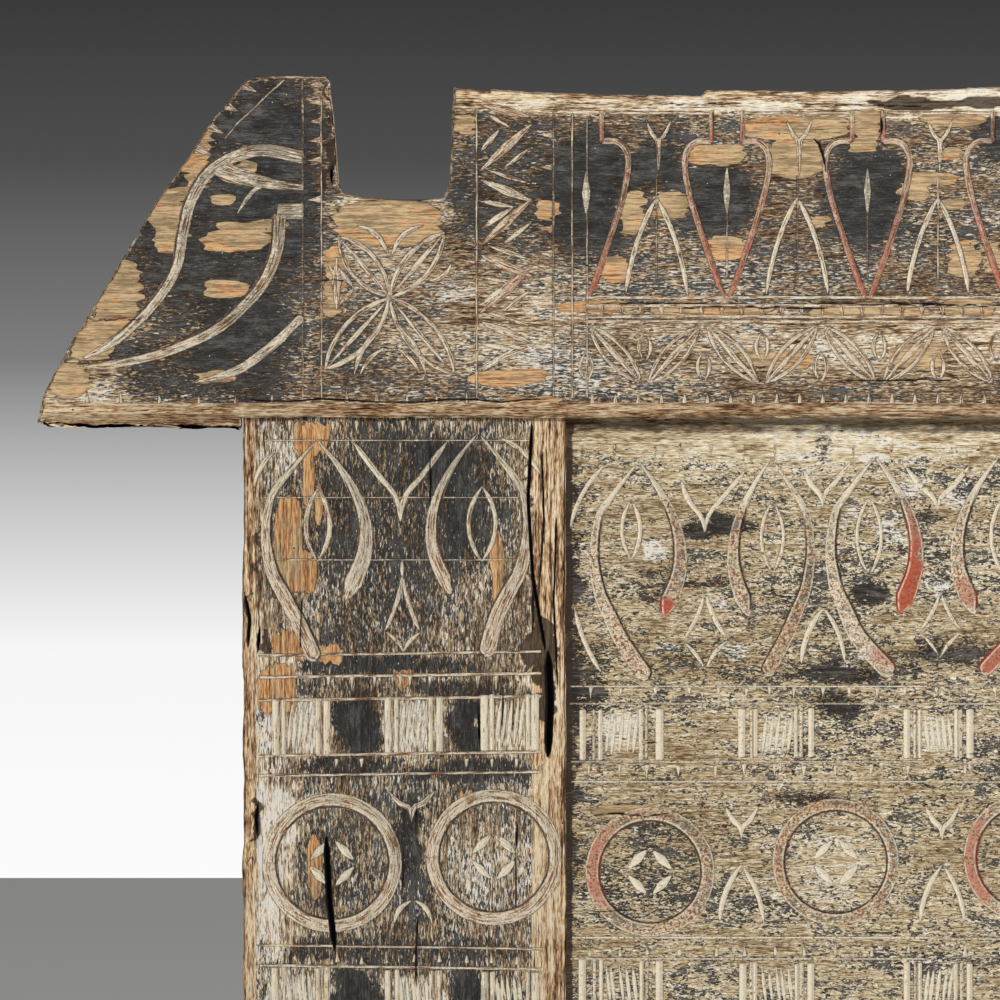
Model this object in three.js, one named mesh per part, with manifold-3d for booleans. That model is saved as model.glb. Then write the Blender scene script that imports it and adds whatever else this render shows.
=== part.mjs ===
// Carved front panel of a rice house: a horned top board over two stiles and a centre panel.
// Millimetres. X runs along the panel, +Z is up and the carved side faces -Y.
// The origin is on the flat back of the top board, at its middle.
import * as THREE from 'three';
import { mergeVertices } from 'three/addons/utils/BufferGeometryUtils.js';
import Module from 'manifold-3d';

const wasm = await Module();
wasm.setup();

// Boards, all with their backs on y = 0
const TOP_THICK = 58;
const STILE_THICK = 40;
const PANEL_THICK = 25;
const FIT_GAP = 0.3;

// Distances from the middle of the panel, out to each side
const STILE_OUTER = 696;
const STILE_INNER = 370;
const LIP_COVER = 15;

// Heights
const LIP_BOTTOM = -159;
const HORN_BOTTOM = -170;
const PANEL_SHOULDER = -164.5;
const HOUSING_TOP = -136;
const SAWN_FOOT = -1040;
const RING_ROW = -601;

// Depths of the housings, from the back
const TOP_HOUSING = STILE_THICK + FIT_GAP;
const STILE_HOUSING = PANEL_THICK + FIT_GAP;
const TONGUE_THICK = 12;

// The horn and the notch beside it, as [distance from the middle, height]
const HORN_TOE = [[889, HORN_BOTTOM], [901, -164], [896, -143]];
const HORN_BACK = [[865, -80], [817, -2], [772, 70], [734, 125], [692, 178], [681, 184]];
const HORN_NOTCH = [[611, 184], [605, 176], [598, 76], [590, 66],
  [552, 61], [494, 62], [488, 72], [484, 172]];
const TOP_EDGE_END = [449, 168];
const TOP_EDGE_MIDDLE = [0, 171];
const SPLIT_STEP = [[237, 164.5], [232, 170]];

// Rounded lower front edge of the top board, as [distance from the front face, height]
const LOWER_ROUND = [[0, -143], [4, -154], [13, -163], [26, HORN_BOTTOM]];

// Gouge work
const CUT_CLEARANCE = 1;
const RULED = { width: 3, depth: 2, start: 1, end: 1 };
const FINE = { width: 4.5, depth: 2.5 };
const BOLD = { width: 8, depth: 3.5 };
const CHIP = { width: 8, depth: 2.5 };
const BAR_DEPTH = 3;
const RING_DEPTH = 3.5;
const RING_SEGMENTS = 24;

// Lotus buds: the arms as [share of the spread, drop from the apex] but for the foot of the long one,
// the width of an arm at its tip and at its foot, and how far its deepest line lies to the inner side
const LOTUS_LONG = [[0.03, 0], [0.62, 32], [0.97, 70], [0.96, 114], [0.6, 154]];
const LOTUS_LONG_DROP = 208;
const LOTUS_SHORT = [[-0.04, -2], [-0.68, 38], [-1, 80], [-0.96, 116], [-0.64, 153]];
const LOTUS_TIP = 6;
const LOTUS_FEET = { long: 20, short: 18 };
const LOTUS_LEAN = 0.6;

// Hanging vees and the leaf zigzag of the top board. A vee's side is [distance from its middle, height].
const VEE_PITCH = 140.4;
const VEE_TOP = 145;
const VEE_SIDE = [[16, 118], [29, 118], [39, 111], [42, 99], [36, 60], [18, 4], [2, -38]];
const VEE_HEART = { top: 92, bottom: 44 };
const VEE_CUT = { width: 5.5, depth: 3, start: 1 };
const VEE_STEM = { width: 4, depth: 2.5, start: 1, end: 1 };
const RAFTER = { apex: 62, foot: -34, reach: 28 };
const BAND_REACH = 2.5 * VEE_PITCH;
const BAND_RULES = [-41, -57];
const ZIGZAG = { high: -64, low: -124, leaves: 12, half: 9, gap: 4 };

// Scrolls of the horn, and the leaves beside it
const HORN_SCROLL = [[634, 105], [672, 110], [715, 97], [747, 55],
  [759, -5], [772, -30], [797, -60], [852, -98]];
const HORN_INNER = [[634, 48], [657, 44], [660, 10], [672, -20],
  [692, -45], [722, -70], [767, -90], [852, -107]];
const HORN_TAIL = [[637, -60], [657, -80], [702, -112], [742, -123]];
const HORN_TONGUE = [[634, 72], [680, 76], [722, 84]];
const HORN_CURL = [[665, 75], [687, 65], [699, 45]];
const ROSETTE = [547, -38];
const ROSETTE_TIPS = [[599, 23], [492, 25], [610, -110], [482, -115]];
const ROSETTE_DROP = { top: -68, foot: -112, reach: 30 };
const LEAF_COLUMN = { outer: 457, inner: 404, waist: 423, joints: [92, 17, -50] };
const LENS = { width: 9.5, depth: 3 };
const SHORT_LENS = { width: 5.5, depth: 2.5 };

// Stiles, by distance from the middle of the panel and by height
const STILE_APEX = -181;
const STILE_LOTUSES = [{ x: 622, spread: 49, longSide: 1, crossing: 0 },
  { x: 457, spread: 47, longSide: -1, crossing: -0.15 }];
const STILE_ALMONDS = [{ x: 620, top: -228, bottom: -302, half: 12 },
  { x: 456, top: -228, bottom: -300, half: 13 }];
const STILE_STAR = { x: 535, top: -315, waist: -370, bottom: -394, half: 18 };
const STILE_SPRIG = { x: 537, top: -182, fork: -237, foot: -258, reach: 47 };
const STILE_CORNERS = [[[662, -190], [686, -228], 4], [[437, -178], [396, -216], -5]];
const STILE_RULES = [-393, -415, -438, -498, -516];
const STILE_SQUARES = { places: [637, 524, 427], top: -440, bottom: -491, outer: 29, inner: 17 };
const STILE_RINGS = [{ x: 605, z: -603, outer: 69, inner: 54 }, { x: 443, z: -597, outer: 68, inner: 54 }];
const STILE_MARGIN = 19;

// Centre panel, in the same way
const PANEL_APEX = -202;
const PANEL_LOTUSES = [{ x: 300.5, spread: 43, longSide: 1, crossing: 0.15 },
  { x: 163.5, spread: 38, longSide: -1, crossing: 0.1 }, { x: 65, spread: 42, longSide: 1, crossing: 0.33 }];
const PANEL_ALMONDS = [{ x: 302, top: -240, bottom: -300, half: 9 },
  { x: 163, top: -240, bottom: -312, half: 11 }, { x: 67, top: -237, bottom: -315, half: 12 }];
const PANEL_STARS = [{ x: 231, top: -335, waist: -380, bottom: -410, half: 22 }];
const MIDDLE_STAR = { x: 3, top: -331, waist: -372, bottom: -400, half: 22 };
const PANEL_SPRIGS = [{ x: 232, top: -215, fork: -256, foot: -272, reach: 30 },
  { x: 114, top: -204, fork: -234, foot: -248, reach: 25 }];
const MIDDLE_SPRIG = { x: 1, top: -205, fork: -236, foot: -251, reach: 32 };
const PANEL_RAFTER = { x: 114, apex: -350, foot: -405, reach: 22 };
const PANEL_CORNERS = [[[362, -348], [334, -415], 4], [[366, -270], [331, -208], -6]];
const PANEL_SQUARES = { places: [316, 160], top: -450, bottom: -498, outer: 40, inner: 20 };
const MIDDLE_SQUARE = { places: [0], top: -450, bottom: -498, outer: 36, inner: 17 };
const PANEL_RINGS = [{ x: -287, z: -613 }, { x: -100.5, z: -603 }, { x: 93, z: -598 }, { x: 283, z: -604 }];
const PANEL_RING_BAND = { outer: 64.5, inner: 50.5 };

// Between the rings stand a sprig above and a rafter below
const BETWEEN_SPRIG = { top: -546, fork: -570, foot: -584, reach: 18 };
const BETWEEN_RAFTER = { apex: -604, foot: -662, reach: 21 };
const BETWEEN_PANEL_RINGS = [-195, 5, 190];
const BETWEEN_STILE_RINGS = { x: 525, lift: 16, drop: 36 };
const QUATREFOIL = { near: 5, far: 19 };

// Splits along the grain of the left stile
const LIP_SPLIT = { path: [[-389, -390], [-387, -440], [-389, -497]], width: 9, depth: 15 };
const RING_SPLIT = { path: [[-611, -580], [-608, -640], [-602, -690]], width: 6, depth: 12 };

// Solids and geometry

// Triangles that a pointed end has closed up to nothing are left out
function toSolid(geometry) {
  const bare = geometry.clone();
  bare.deleteAttribute('normal');
  bare.deleteAttribute('uv');
  const merged = mergeVertices(bare, 1e-4);
  const order = merged.index.array;
  const kept = [];
  for (let i = 0; i < order.length; i += 3) {
    const [a, b, c] = [order[i], order[i + 1], order[i + 2]];
    if (a !== b && b !== c && c !== a) kept.push(a, b, c);
  }
  return new wasm.Manifold(new wasm.Mesh({
    numProp: 3,
    vertProperties: new Float32Array(merged.attributes.position.array),
    triVerts: new Uint32Array(kept),
  }));
}

function toGeometry(solid) {
  const mesh = solid.getMesh();
  const geometry = new THREE.BufferGeometry();
  geometry.setAttribute('position', new THREE.BufferAttribute(new Float32Array(mesh.vertProperties), 3));
  geometry.setIndex(new THREE.BufferAttribute(new Uint32Array(mesh.triVerts), 1));
  geometry.computeVertexNormals();
  return geometry;
}

function joinAll(solids) {
  let layer = solids;
  while (layer.length > 1) {
    const next = [];
    for (let i = 0; i < layer.length; i += 2) {
      next.push(i + 1 < layer.length ? layer[i].add(layer[i + 1]) : layer[i]);
    }
    layer = next;
  }
  return layer[0];
}

// A board from its front outline in x and z, with its back on y = 0
function plank(outline, thickness) {
  const shape = new THREE.Shape(outline.map(([x, z]) => new THREE.Vector2(x, z)));
  const geometry = new THREE.ExtrudeGeometry(shape, { depth: thickness, bevelEnabled: false });
  geometry.rotateX(Math.PI / 2);
  return toSolid(geometry);
}

function block(x0, x1, y0, y1, z0, z1) {
  const geometry = new THREE.BoxGeometry(x1 - x0, y1 - y0, z1 - z0);
  geometry.translate((x0 + x1) / 2, (y0 + y1) / 2, (z0 + z1) / 2);
  return toSolid(geometry);
}

// The same surface with its faces turned to point the other way
function flipped(geometry) {
  const turned = geometry.clone();
  const order = turned.index.array;
  for (let i = 0; i < order.length; i += 3) {
    [order[i], order[i + 1]] = [order[i + 1], order[i]];
  }
  return turned;
}

// Paths for the gouge, as lists of [x, z]

function curve(points, steps) {
  const spline = new THREE.SplineCurve(points.map(([x, z]) => new THREE.Vector2(x, z)));
  return spline.getSpacedPoints(steps).map((p) => [p.x, p.y]);
}

// An arc between two points that bulges to the left of its direction
function bow(from, to, bulge, steps) {
  const [dx, dz] = [to[0] - from[0], to[1] - from[1]];
  const points = [];
  for (let i = 0; i <= steps; i += 1) {
    const t = i / steps;
    const rise = bulge * 4 * t * (1 - t) / Math.hypot(dx, dz);
    points.push([from[0] + t * dx - rise * dz, from[1] + t * dz + rise * dx]);
  }
  return points;
}

// A stroke is a path with its width, depth, where it is deepest and how its two ends run out
function stroke(path, cut, options = {}) {
  return { path, lean: 0, start: 0, end: 0, endWidth: cut.width, ...cut, ...options };
}

function line(from, to, cut, options = {}) {
  const middle = [(from[0] + to[0]) / 2, (from[1] + to[1]) / 2];
  return stroke([from, middle, to], cut, options);
}

// The same strokes on the other side of the middle, or of a height
function acrossMiddle(strokes) {
  return strokes.map((s) => ({ ...s, path: s.path.map(([x, z]) => [-x, z]), lean: -s.lean }));
}

function acrossHeight(strokes, height) {
  return strokes.map((s) => ({
    ...s, path: s.path.map(([x, z]) => [x, 2 * height - z]), lean: -s.lean,
  }));
}

// The wedge that a stroke takes out of a face at y = -front: a V below the face, upright above it.
// start and end are how full the cut still is at its ends: 0 runs out to a point.
function wedge(s, front) {
  const last = s.path.length - 1;
  const sections = s.path.map((point, i) => {
    const before = s.path[Math.max(i - 1, 0)];
    const after = s.path[Math.min(i + 1, last)];
    const along = new THREE.Vector2(after[0] - before[0], after[1] - before[1]).normalize();
    const full = i === 0 ? s.start : (i === last ? s.end : 1);
    const half = full * (s.width + (s.endWidth - s.width) * i / last) / 2;
    const corner = (offset, y) => new THREE.Vector3(
      point[0] - along.y * offset, y, point[1] + along.x * offset);
    return [
      corner(s.lean * half, -front + s.depth * full),
      corner(half, -front),
      corner(half, -front - CUT_CLEARANCE),
      corner(-half, -front - CUT_CLEARANCE),
      corner(-half, -front),
    ];
  });
  const sides = sections[0].length;
  const bar = new THREE.CylinderGeometry(1, 1, 1, sides, last);
  const position = bar.attributes.position;
  for (let i = 0; i < position.count; i += 1) {
    const [x, y, z] = [position.getX(i), position.getY(i), position.getZ(i)];
    const section = sections[Math.round((0.5 - y) * last)];
    const turn = Math.round(Math.atan2(x, z) / (2 * Math.PI / sides) + sides) % sides;
    const place = Math.hypot(x, z) < 0.5 ? section[0] : section[turn];
    position.setXYZ(i, place.x, place.y, place.z);
  }
  return toSolid(flipped(bar));
}

// A ring-shaped groove, deepest near its inner edge
function ringCut({ x, z, outer, inner }, front) {
  const deepest = new THREE.Vector2(inner + (outer - inner) * 0.3, RING_DEPTH);
  const profile = [
    deepest,
    new THREE.Vector2(inner, 0),
    new THREE.Vector2(inner, -CUT_CLEARANCE),
    new THREE.Vector2(outer, -CUT_CLEARANCE),
    new THREE.Vector2(outer, 0),
    deepest,
  ];
  const geometry = new THREE.LatheGeometry(profile, RING_SEGMENTS);
  geometry.translate(x, -front, z);
  return toSolid(geometry);
}

function carve(board, strokes, front, rings = []) {
  const cuts = [...strokes.map((s) => wedge(s, front)), ...rings.map((ring) => ringCut(ring, front))];
  return board.subtract(joinAll(cuts));
}

// Motifs

// A lotus bud from two crescents, steep on the inside: a long arm on the side given, whose foot crosses
// to the other side by a share of the spread, and a short arm
function lotus({ x, apex, spread, longSide, crossing }) {
  const long = [...LOTUS_LONG, [-crossing, LOTUS_LONG_DROP]];
  const place = ([share, drop]) => [x + longSide * share * spread, apex - drop];
  const arm = { width: LOTUS_TIP, depth: BOLD.depth, end: 0.6 };
  const lean = longSide * LOTUS_LEAN;
  return [
    stroke(curve(long.map(place), 8), arm, { endWidth: LOTUS_FEET.long, lean: -lean }),
    stroke(curve(LOTUS_SHORT.map(place), 6), { ...arm, end: 0.3 }, { endWidth: LOTUS_FEET.short, lean }),
  ];
}

function almond({ x, top, bottom, half }) {
  return [half, -half].map((bulge) => stroke(bow([x, top], [x, bottom], bulge, 2), FINE));
}

// A four-pointed star with the sides left open at its points
function star({ x, top, waist, bottom, half }) {
  return [-half, half].flatMap((side) => [
    line([x, top], [x + side, waist], FINE),
    line([x, bottom], [x + side, waist], FINE),
  ]);
}

// Two arms that spring apart from the top of a short stem
function sprig({ x, top, fork, foot, reach }) {
  return [-reach, reach].map((side) => stroke(
    curve([[x, foot], [x + side * 0.12, fork], [x + side, top]], 2), FINE));
}

function rafter({ x, apex, foot, reach }) {
  return [-1, 1].map((side) => stroke(bow([x, apex], [x + side * reach, foot], side * 4, 2), FINE));
}

// Square fields between double bars
function squares({ places, top, bottom, outer, inner }) {
  const bar = { width: (outer - inner) / 2 - 1, depth: BAR_DEPTH, start: 1, end: 1 };
  const offsets = [outer - bar.width / 2, inner + bar.width / 2].flatMap((d) => [d, -d]);
  return places.flatMap((x) => offsets.map((d) => stroke([[x + d, top], [x + d, bottom]], bar)));
}

// Four small leaves crossed inside a ring
function quatrefoil({ x, z }) {
  const { near, far } = QUATREFOIL;
  return [[1, 1], [1, -1], [-1, 1], [-1, -1]].map(([a, b]) => line(
    [x + a * near, z + b * near], [x + a * far, z + b * far], CHIP));
}

// A leaf from two bowed sides, with or without a rib
function leaf(from, to, half, ribbed = true) {
  const sides = [half, -half].map((bulge) => stroke(bow(from, to, bulge, 2), FINE));
  return ribbed ? [...sides, line(from, to, FINE)] : sides;
}

function cornerArc([from, to, bulge]) {
  return stroke(bow(from, to, bulge, 2), FINE);
}

// Top board

function topOutline() {
  const half = [[STILE_OUTER, LIP_BOTTOM], [STILE_OUTER, HORN_BOTTOM], ...HORN_TOE, ...HORN_BACK,
    ...HORN_NOTCH, TOP_EDGE_END];
  const onLeft = ([x, z]) => [-x, z];
  return [...half.map(onLeft), ...SPLIT_STEP.map(onLeft), TOP_EDGE_MIDDLE, ...half.slice().reverse()];
}

// The section of the board in y and z, with its rounded lower front edge, run along x
function topSection() {
  const top = HORN_NOTCH[0][1] + CUT_CLEARANCE;
  const front = LOWER_ROUND.map(([inset, z]) => [inset - TOP_THICK, z]);
  const outline = [[0, HORN_BOTTOM], [0, top], [-TOP_THICK, top], ...front];
  const shape = new THREE.Shape(outline.map(([y, z]) => new THREE.Vector2(y, z)));
  const reach = HORN_TOE[1][0] + CUT_CLEARANCE;
  const geometry = new THREE.ExtrudeGeometry(shape, { depth: 2 * reach, bevelEnabled: false });
  geometry.translate(0, 0, -reach);
  geometry.rotateX(Math.PI / 2);
  geometry.rotateZ(Math.PI / 2);
  return toSolid(geometry);
}

// One side of a hanging vee: the stem, then the shoulder and the run to the tip
function veeSide(x, side) {
  const run = VEE_SIDE.map(([offset, z]) => [x + side * offset, z]);
  const [stem, shoulder] = run[0];
  return [
    line([stem, VEE_TOP], [stem, shoulder + VEE_STEM.width], VEE_STEM),
    stroke(curve(run, 10), VEE_CUT),
  ];
}

function veeBand() {
  const middles = [-1.5, -0.5, 0.5, 1.5].map((n) => n * VEE_PITCH);
  const whole = middles.flatMap((x) => [
    ...veeSide(x, -1), ...veeSide(x, 1),
    line([x, VEE_HEART.top], [x, VEE_HEART.bottom], SHORT_LENS),
  ]);
  const between = [-2, -1, 0, 1, 2].flatMap((n) => rafter({ x: n * VEE_PITCH, ...RAFTER }));
  return [...whole, ...between, ...veeSide(-BAND_REACH, 1), ...veeSide(BAND_REACH, -1)];
}

// The zigzag of leaves under the vees, below two ruled lines
function leafZigzag() {
  const { high, low, leaves, half, gap } = ZIGZAG;
  const cuts = BAND_RULES.map((z) => line([-BAND_REACH, z], [BAND_REACH, z], RULED));
  const step = 2 * BAND_REACH / leaves;
  for (let i = 0; i < leaves; i += 1) {
    const x = i * step - BAND_REACH;
    const [from, to] = i % 2 === 1 ? [low, high] : [high, low];
    cuts.push(...leaf([x + gap, from], [x + step - gap, to], half));
  }
  return cuts;
}

// Two lens-shaped leaves that part from a joint, and two short ones under them that meet at the waist
function leafPair(z) {
  const { outer, inner, waist } = LEAF_COLUMN;
  return [
    line([outer, z - 4], [inner, z + 44], LENS),
    line([outer, z - 12], [inner, z - 34], LENS),
    line([outer, z - 34], [waist, z - 40], SHORT_LENS),
    line([waist + 2, z - 43], [outer, z - 62], SHORT_LENS),
  ];
}

// Carving of one horn and of the leaves beside it, drawn for +X
function hornCarving() {
  const { top, foot, reach } = ROSETTE_DROP;
  return [
    stroke(curve(HORN_SCROLL, 12), { width: 15, depth: 4 }, { start: 1, endWidth: 10, lean: 0.4 }),
    stroke(curve(HORN_INNER, 10), { width: 13, depth: 4 }, { start: 1, endWidth: 9, lean: 0.4 }),
    stroke(curve(HORN_TONGUE, 3), { width: 6, depth: 3 }, { start: 1, endWidth: 20 }),
    stroke(curve(HORN_TAIL, 4), BOLD),
    stroke(curve(HORN_CURL, 3), FINE),
    ...ROSETTE_TIPS.flatMap((tip) => leaf(ROSETTE, tip, 13)),
    ...[-reach, reach].flatMap((side) => leaf([ROSETTE[0], top], [ROSETTE[0] + side, foot], 5, false)),
    ...LEAF_COLUMN.joints.flatMap(leafPair),
  ];
}

function topBoard() {
  const reach = STILE_OUTER + FIT_GAP;
  const housing = block(-reach, reach, -TOP_HOUSING, CUT_CLEARANCE, HORN_BOTTOM - 1, HOUSING_TOP);
  const body = plank(topOutline(), TOP_THICK).intersect(topSection()).subtract(housing);
  const horn = hornCarving();
  return carve(body, [...veeBand(), ...leafZigzag(), ...horn, ...acrossMiddle(horn)], TOP_THICK);
}

// Stiles

// The rows above the rings, drawn for +X. They repeat upside down below them.
function stileRows() {
  const [near, far] = [STILE_INNER + STILE_MARGIN, STILE_OUTER - STILE_MARGIN];
  return [
    ...STILE_LOTUSES.flatMap((bud) => lotus({ ...bud, apex: STILE_APEX })),
    ...STILE_ALMONDS.flatMap(almond),
    ...star(STILE_STAR),
    ...sprig(STILE_SPRIG),
    ...STILE_CORNERS.map(cornerArc),
    ...STILE_RULES.map((z) => line([near, z], [far, z], RULED)),
    ...squares(STILE_SQUARES),
  ];
}

function stileCarving() {
  const rows = stileRows();
  const { x, lift, drop } = BETWEEN_STILE_RINGS;
  return [
    ...rows, ...acrossHeight(rows, RING_ROW),
    ...sprig({ x, top: -546 + lift, fork: -570 + lift, foot: -584 + lift, reach: 24 }),
    ...rafter({ x, apex: -604 - drop, foot: -626 - drop, reach: 19 }),
    ...STILE_RINGS.flatMap(quatrefoil),
  ];
}

function stile(side, splits = []) {
  const [top, under] = [HOUSING_TOP - FIT_GAP, SAWN_FOOT - CUT_CLEARANCE];
  const [edge, cover] = [STILE_INNER - CUT_CLEARANCE, STILE_INNER + LIP_COVER];
  const housing = block(edge, cover, -STILE_HOUSING, CUT_CLEARANCE, under, HOUSING_TOP);
  const right = block(STILE_INNER, STILE_OUTER, -STILE_THICK, 0, SAWN_FOOT, top).subtract(housing);
  const body = side > 0 ? right : right.mirror([1, 0, 0]);
  const cuts = side > 0 ? stileCarving() : acrossMiddle(stileCarving());
  const rings = STILE_RINGS.map((ring) => ({ ...ring, x: side * ring.x }));
  return carve(body, [...cuts, ...splits.map((s) => stroke(s.path, s))], STILE_THICK, rings);
}

// Centre panel

function panelRows() {
  const half = [
    ...PANEL_LOTUSES.flatMap((bud) => lotus({ ...bud, apex: PANEL_APEX })),
    ...PANEL_ALMONDS.flatMap(almond),
    ...PANEL_STARS.flatMap(star),
    ...PANEL_SPRIGS.flatMap(sprig),
    ...rafter(PANEL_RAFTER),
    ...PANEL_CORNERS.map(cornerArc),
    ...squares(PANEL_SQUARES),
  ];
  const middle = [...star(MIDDLE_STAR), ...sprig(MIDDLE_SPRIG), ...squares(MIDDLE_SQUARE)];
  return [...half, ...acrossMiddle(half), ...middle];
}

function centrePanel() {
  const reach = STILE_INNER + LIP_COVER - FIT_GAP;
  const board = block(-reach, reach, -PANEL_THICK, 0, SAWN_FOOT, HOUSING_TOP - FIT_GAP);
  const shoulder = block(-reach - CUT_CLEARANCE, reach + CUT_CLEARANCE,
    -PANEL_THICK - CUT_CLEARANCE, -TONGUE_THICK, PANEL_SHOULDER, HOUSING_TOP);
  const rows = panelRows();
  const between = BETWEEN_PANEL_RINGS.flatMap((x) => [
    ...sprig({ x, ...BETWEEN_SPRIG }), ...rafter({ x, ...BETWEEN_RAFTER })]);
  const cuts = [...rows, ...acrossHeight(rows, RING_ROW), ...between, ...PANEL_RINGS.flatMap(quatrefoil)];
  const rings = PANEL_RINGS.map((ring) => ({ ...ring, ...PANEL_RING_BAND }));
  return carve(board.subtract(shoulder), cuts, PANEL_THICK, rings);
}

// Assembly

const FINISHES = {
  top_board: { color: 0x5b5147, roughness: 0.85 },
  left_stile: { color: 0x7d6f58, roughness: 0.9 },
  right_stile: { color: 0x7d6f58, roughness: 0.9 },
  centre_panel: { color: 0x9c8f72, roughness: 0.92 },
};

function board(name, solid) {
  const material = new THREE.MeshStandardMaterial({ ...FINISHES[name], metalness: 0 });
  const mesh = new THREE.Mesh(toGeometry(solid), material);
  mesh.name = name;
  return mesh;
}

const group = new THREE.Group();
group.add(
  board('top_board', topBoard()),
  board('left_stile', stile(-1, [LIP_SPLIT, RING_SPLIT])),
  board('right_stile', stile(1)),
  board('centre_panel', centrePanel()),
);

export default group;
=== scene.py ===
"""Carved front panel of a rice house: four weathered boards with gouge-cut ornament.

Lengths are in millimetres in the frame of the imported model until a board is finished, and then become
metres. X runs along the panel, Z is up and the carved side faces -Y. Motifs are drawn for +X, where x is
the distance from the middle of the panel, and are turned over for the left side.
"""

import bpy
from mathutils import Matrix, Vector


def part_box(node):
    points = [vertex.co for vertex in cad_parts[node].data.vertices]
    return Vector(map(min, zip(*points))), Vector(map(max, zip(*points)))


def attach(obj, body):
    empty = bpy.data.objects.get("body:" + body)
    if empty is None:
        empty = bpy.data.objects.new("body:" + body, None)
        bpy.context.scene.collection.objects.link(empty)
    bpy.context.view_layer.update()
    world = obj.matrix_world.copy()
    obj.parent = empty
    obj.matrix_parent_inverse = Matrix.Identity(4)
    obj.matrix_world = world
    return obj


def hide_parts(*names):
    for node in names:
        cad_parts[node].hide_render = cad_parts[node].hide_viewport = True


bl_info = {
    "name": "Carved rice house panel",
    "version": (1, 0, 0),
    "blender": (4, 5, 0),
    "location": "View3D > Sidebar > Carved panel",
    "description": "Models four carved boards, their worn paint and a plain stage",
    "category": "Object",
}

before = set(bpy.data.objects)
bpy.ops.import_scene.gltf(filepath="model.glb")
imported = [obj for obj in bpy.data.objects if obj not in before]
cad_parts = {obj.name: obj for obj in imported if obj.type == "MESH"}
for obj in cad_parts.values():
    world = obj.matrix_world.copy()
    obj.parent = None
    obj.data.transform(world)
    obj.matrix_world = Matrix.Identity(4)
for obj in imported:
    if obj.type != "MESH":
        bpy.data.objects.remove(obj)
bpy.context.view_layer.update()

import math
import random

import bmesh
import bpy
import numpy as np
from mathutils import Matrix, Vector

MM = 0.001


def board_box(name):
    """Lowest and highest corner of a packed board, in millimetres."""
    low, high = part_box(name)
    return [c / MM for c in low], [c / MM for c in high]


# Boards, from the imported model
TOP_LOW, TOP_HIGH = board_box("top_board")
STILE_LOW, STILE_HIGH = board_box("right_stile")
PANEL_LOW, PANEL_HIGH = board_box("centre_panel")
TOP_THICK = -TOP_LOW[1]
STILE_THICK = -STILE_LOW[1]
PANEL_THICK = -PANEL_LOW[1]
STILE_INNER = STILE_LOW[0]
STILE_OUTER = STILE_HIGH[0]
SAWN_FOOT = STILE_LOW[2]
HOUSING_TOP = STILE_HIGH[2]
LIP_BOTTOM = -159.0
HORN_BOTTOM = TOP_LOW[2]
PANEL_SHOULDER = -164.5
TONGUE_THICK = 12.0
FIT_GAP = 0.3
RING_ROW = -601.0

# The part of the panel that is modelled most finely, as x and z limits on the left
FINE_RIGHT = 75.0
FINE_FOOT = -752.0


# Strokes of the gouge

class Stroke:
    """A gouge cut along a path: widths, depth, lean of its deepest line, how full its ends are, and colour."""

    def __init__(self, path, width, depth, end_width=None, start=0.0, end=0.0, lean=0.0,
                 red=0.0, pale=0.7, run=None, end_run=None):
        self.path = [tuple(p) for p in path]
        self.width = width
        self.end_width = width if end_width is None else end_width
        self.depth = depth
        self.start = start
        self.end = end
        self.lean = lean
        self.red = red
        self.pale = pale
        self.run = run
        self.end_run = end_run

    def changed(self, place, turned):
        """The same cut with its path moved by a function, and its lean turned over if asked."""
        other = Stroke(self.path, self.width, self.depth, self.end_width, self.start, self.end,
                       -self.lean if turned else self.lean, self.red, self.pale, self.run, self.end_run)
        other.path = [place(x, z) for x, z in self.path]
        return other


def across_middle(strokes):
    return [s.changed(lambda x, z: (-x, z), True) for s in strokes]


def across_height(strokes, height=RING_ROW):
    return [s.changed(lambda x, z: (x, 2 * height - z), True) for s in strokes]


def by_hand(strokes, seed, drift=1.0):
    """Small shifts in place and width, as cuts made by hand have."""
    rng = random.Random(seed)
    made = []
    for s in strokes:
        dx, dz = rng.uniform(-drift, drift), rng.uniform(-drift, drift)
        other = s.changed(lambda x, z: (x + dx, z + dz), False)
        scale = rng.uniform(0.88, 1.12)
        other.width *= scale
        other.end_width *= scale
        other.red *= rng.uniform(0.5, 1.2)
        other.pale *= rng.uniform(0.75, 1.15)
        made.append(other)
    return made


def curve(points, steps):
    """Points at equal steps of a smooth curve through the given points."""
    padded = [points[0], *points, points[-1]]
    fine = []
    for p0, p1, p2, p3 in zip(padded, padded[1:], padded[2:], padded[3:]):
        for i in range(12):
            t = i / 12
            fine.append(tuple(
                0.5 * (2 * b + (c - a) * t + (2 * a - 5 * b + 4 * c - d) * t * t + (3 * b - a - 3 * c + d) * t ** 3)
                for a, b, c, d in zip(p0, p1, p2, p3)))
    fine.append(tuple(points[-1]))
    far = np.concatenate([[0], np.cumsum(np.hypot(*np.diff(np.array(fine), axis=0).T))])
    even = np.linspace(0, far[-1], steps + 1)
    return [tuple(p) for p in np.stack([np.interp(even, far, [q[k] for q in fine]) for k in (0, 1)], 1)]


def bow(start, end, bulge, steps=8):
    """An arc between two points that bulges to the left of its direction."""
    dx, dz = end[0] - start[0], end[1] - start[1]
    length = math.hypot(dx, dz)
    points = []
    for i in range(steps + 1):
        t = i / steps
        rise = bulge * 4 * t * (1 - t) / length
        points.append((start[0] + t * dx - rise * dz, start[1] + t * dz + rise * dx))
    return points


def fine_cut(path, **change):
    return Stroke(path, **{"width": 4.2, "depth": 2.4, **change})


def ruled(start, end, **change):
    return Stroke([start, end], **{"width": 2.4, "depth": 1.4, "start": 1, "end": 1, "pale": 0.5, **change})


def ticks(places, top, length, width=4.0, **change):
    """Small notches that hang from a line, each narrowing to a point."""
    look = {"start": 1, "end": 0, "end_width": 1.5, "run": abs(length), "pale": 0.8, **change}
    return [Stroke([(x, top), (x + 0.6, top - length)], width, 2.2, **look) for x in places]


# Motifs

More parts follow.
